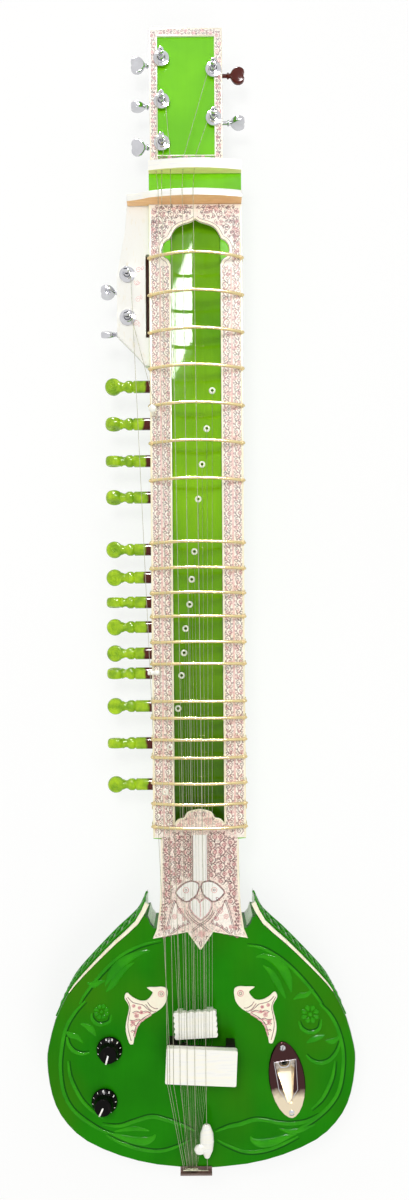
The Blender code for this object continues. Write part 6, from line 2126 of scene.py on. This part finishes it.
    def build(self) -> None:
        """Makes the body."""
        core = self.refine("body_core", BODY_LACQUER, 35)
        # The notch's walls are painted white: partly a cream edge seen there, partly painted light over the
        # shade that falls into the narrow gap.
        tint(core, WHITE_CELLULOID.make(), self.in_notch)
        self.refine("top_plate", BODY_LACQUER, 35)
        for side in ("left", "right"):
            self.refine(f"edge_binding_{side}", CREAM_EDGE, 35, 0.4)
        leaves, lines = (
            [[(x, at(down), FRONT_Z, share) for x, down, share in flowing(run)] for run in runs]
            for runs in (self.leaves, self.lines)
        )
        self.place(wire("carved_leaves", leaves, self.leaf_radius, 3, 0.4, FRONT_Z), RAISED_SHEEN_LACQUER)
        # Flat dark strips beside each carved line: a painted shadow of grooves.
        grooves = []
        for run in lines:
            beside = offset_line([point[:2] for point in run], 2.1)
            grooves.append([(x, y, FRONT_Z, point[3]) for (x, y), point in zip(beside, run)])
        self.place(wire("painted_groove_shadows", grooves, 0.9, 1, 0.12, FRONT_Z), GROOVE_SHADOW_LACQUER)
        self.place(wire("carved_lines", lines, self.line_radius, 2, 0.5, FRONT_Z), RAISED_SHEEN_LACQUER)
        self.blossoms()
        self.shoulders()

    @staticmethod
    def in_notch(face: MeshPolygon) -> bool:
        """Tells whether a face lines the notch between a shoulder's tip and the heel, which is painted
        white: partly a cream edge seen there, partly painted light over the shade in the gap.

        Args:
            face: A face of the core.

        Returns:
            Whether it stands upright there and looks at the heel.
        """
        x, y, _ = face.center / MM
        upright = abs(face.normal.z) < 0.5 and face.normal.x * x < 0
        return upright and 44 < abs(x) < 66 and at(715) < y < at(640)

    def blossoms(self) -> None:
        """Carves the rosettes: round petals about a boss."""
        petals, bosses = [], []
        for x, down, size, count in self.rosettes:
            for i in range(count):
                angle = math.tau * (i + 0.5) / count
                ray = (math.cos(angle), math.sin(angle))
                petals.append([
                    (x + ray[0] * size * reach, at(down) + ray[1] * size * reach, FRONT_Z, share)
                    for reach, share in self.petal
                ])
            boss = lathe("boss", [(0, -0.2), (0.26, -0.2), (0.24, 0.6), (0.14, 1.1), (0, 1.3)], 20)
            move(boss, shift(x, at(down), FRONT_Z) @ Matrix.Diagonal((size, size, 1.5, 1)))
            bosses.append(boss)
        self.place(wire("carved_petals", petals, 2.4, 2, 0.55, FRONT_Z), RAISED_SHEEN_LACQUER)
        self.place(shade(join("carved_bosses", bosses), 60), RAISED_SHEEN_LACQUER)

    def shoulders(self) -> None:
        """Carves two long mouldings and a row of slanted leaves on each shoulder's wall."""
        path = [(x, at(down)) for x, down, _ in flowing([(*point, 0) for point in self.wall], 6)]
        out = offset_line(path, 0.2)
        runs = []
        for side in (-1, 1):
            for height, share in ((46, 1.1), (12, 1.1), (41.5, 0.6)):
                runs.append([(side * x, y, height, share) for x, y in out if y < at(664)])
            for i in range(1, len(out) - 2, 2):
                (x, y), (far_x, far_y) = out[i], out[i + 1]
                runs.append([
                    (side * (x + (far_x - x) * t), y + (far_y - y) * t, 16 + 22 * t, share)
                    for t, share in ((0, 0.2), (0.25, 1.3), (0.55, 1.8), (0.8, 1.2), (1, 0.2))
                ])
        self.place(wire("shoulder_carving", runs, 1.1, 2), RAISED_SHEEN_LACQUER)


@dataclass
class Fittings(Assembly):
    """The side plate with its slot, the swan bead, the tailpiece and the neck's own wood."""

    slot_low: Point = (-47.7, 128.4, 44)
    slot_high: Point = (-44.4, 49.6, 50)

    def build(self) -> None:
        """Makes them."""
        self.refine("neck", NECK_LACQUER, 35)
        self.refine("side_tuner_plate", PLATE_PLASTIC, 30, 0.5)
        (x, low, z), (far_x, high, top) = self.slot_low, self.slot_high
        strip = block("side_slot_strip", (x, at(low), z), (far_x, at(high), top), 0.3)
        self.place(strip, SLOT_WOOD)
        self.refine("swan_bead", WHITE_BONE, 80, 0, "swan_bead", 0.45)
        self.refine("tailpiece", TAIL_METAL, 35, 0.3)
        faint = Engraving("side_plate_scrolls", 54, 0.22)
        for x, down, turn in ((-54.5, 64, 0), (-56, 76, 140), (-55, 92, 30), (-57, 114, 200)):
            faint.line(spiral((x, at(down)), 2.8, 0.6, turn, 1.5, 18))
            faint.line(leaf((x + 3, at(down)), 4.2, 1.8, turn + 60, 0.1, 5), True)
        faint.lay(ETCH_ROSE)


@dataclass
class Strings(Assembly):
    """The CAD strings and the hidden wiring, which keep their shape and take their metal."""

    nodes: tuple[str, ...] = ("strings_main", "strings_sympathetic", "wired_harness")

    def build(self) -> None:
        """Dresses them."""
        for node in self.nodes:
            for slot in self.frame["nodes"][node].material_slots:
                slot.material = STRING_WIRE.make()


def main() -> None:
    """Builds the set and every sub-assembly in order."""
    logging.basicConfig(level=logging.INFO, format="%(name)s: %(message)s")
    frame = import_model()
    Assembly.frame = frame
    Studio().build()
    for assembly in (
        Body(), Fittings(), Rails(), Heel(), Headstock(), Birds(), Frets(), NeckFittings(), Nuts(),
        Machines(), Pegs(), Bridges(), Controls(), Strings(),
    ):
        assembly.build()


if __name__ == "__main__":
    main()
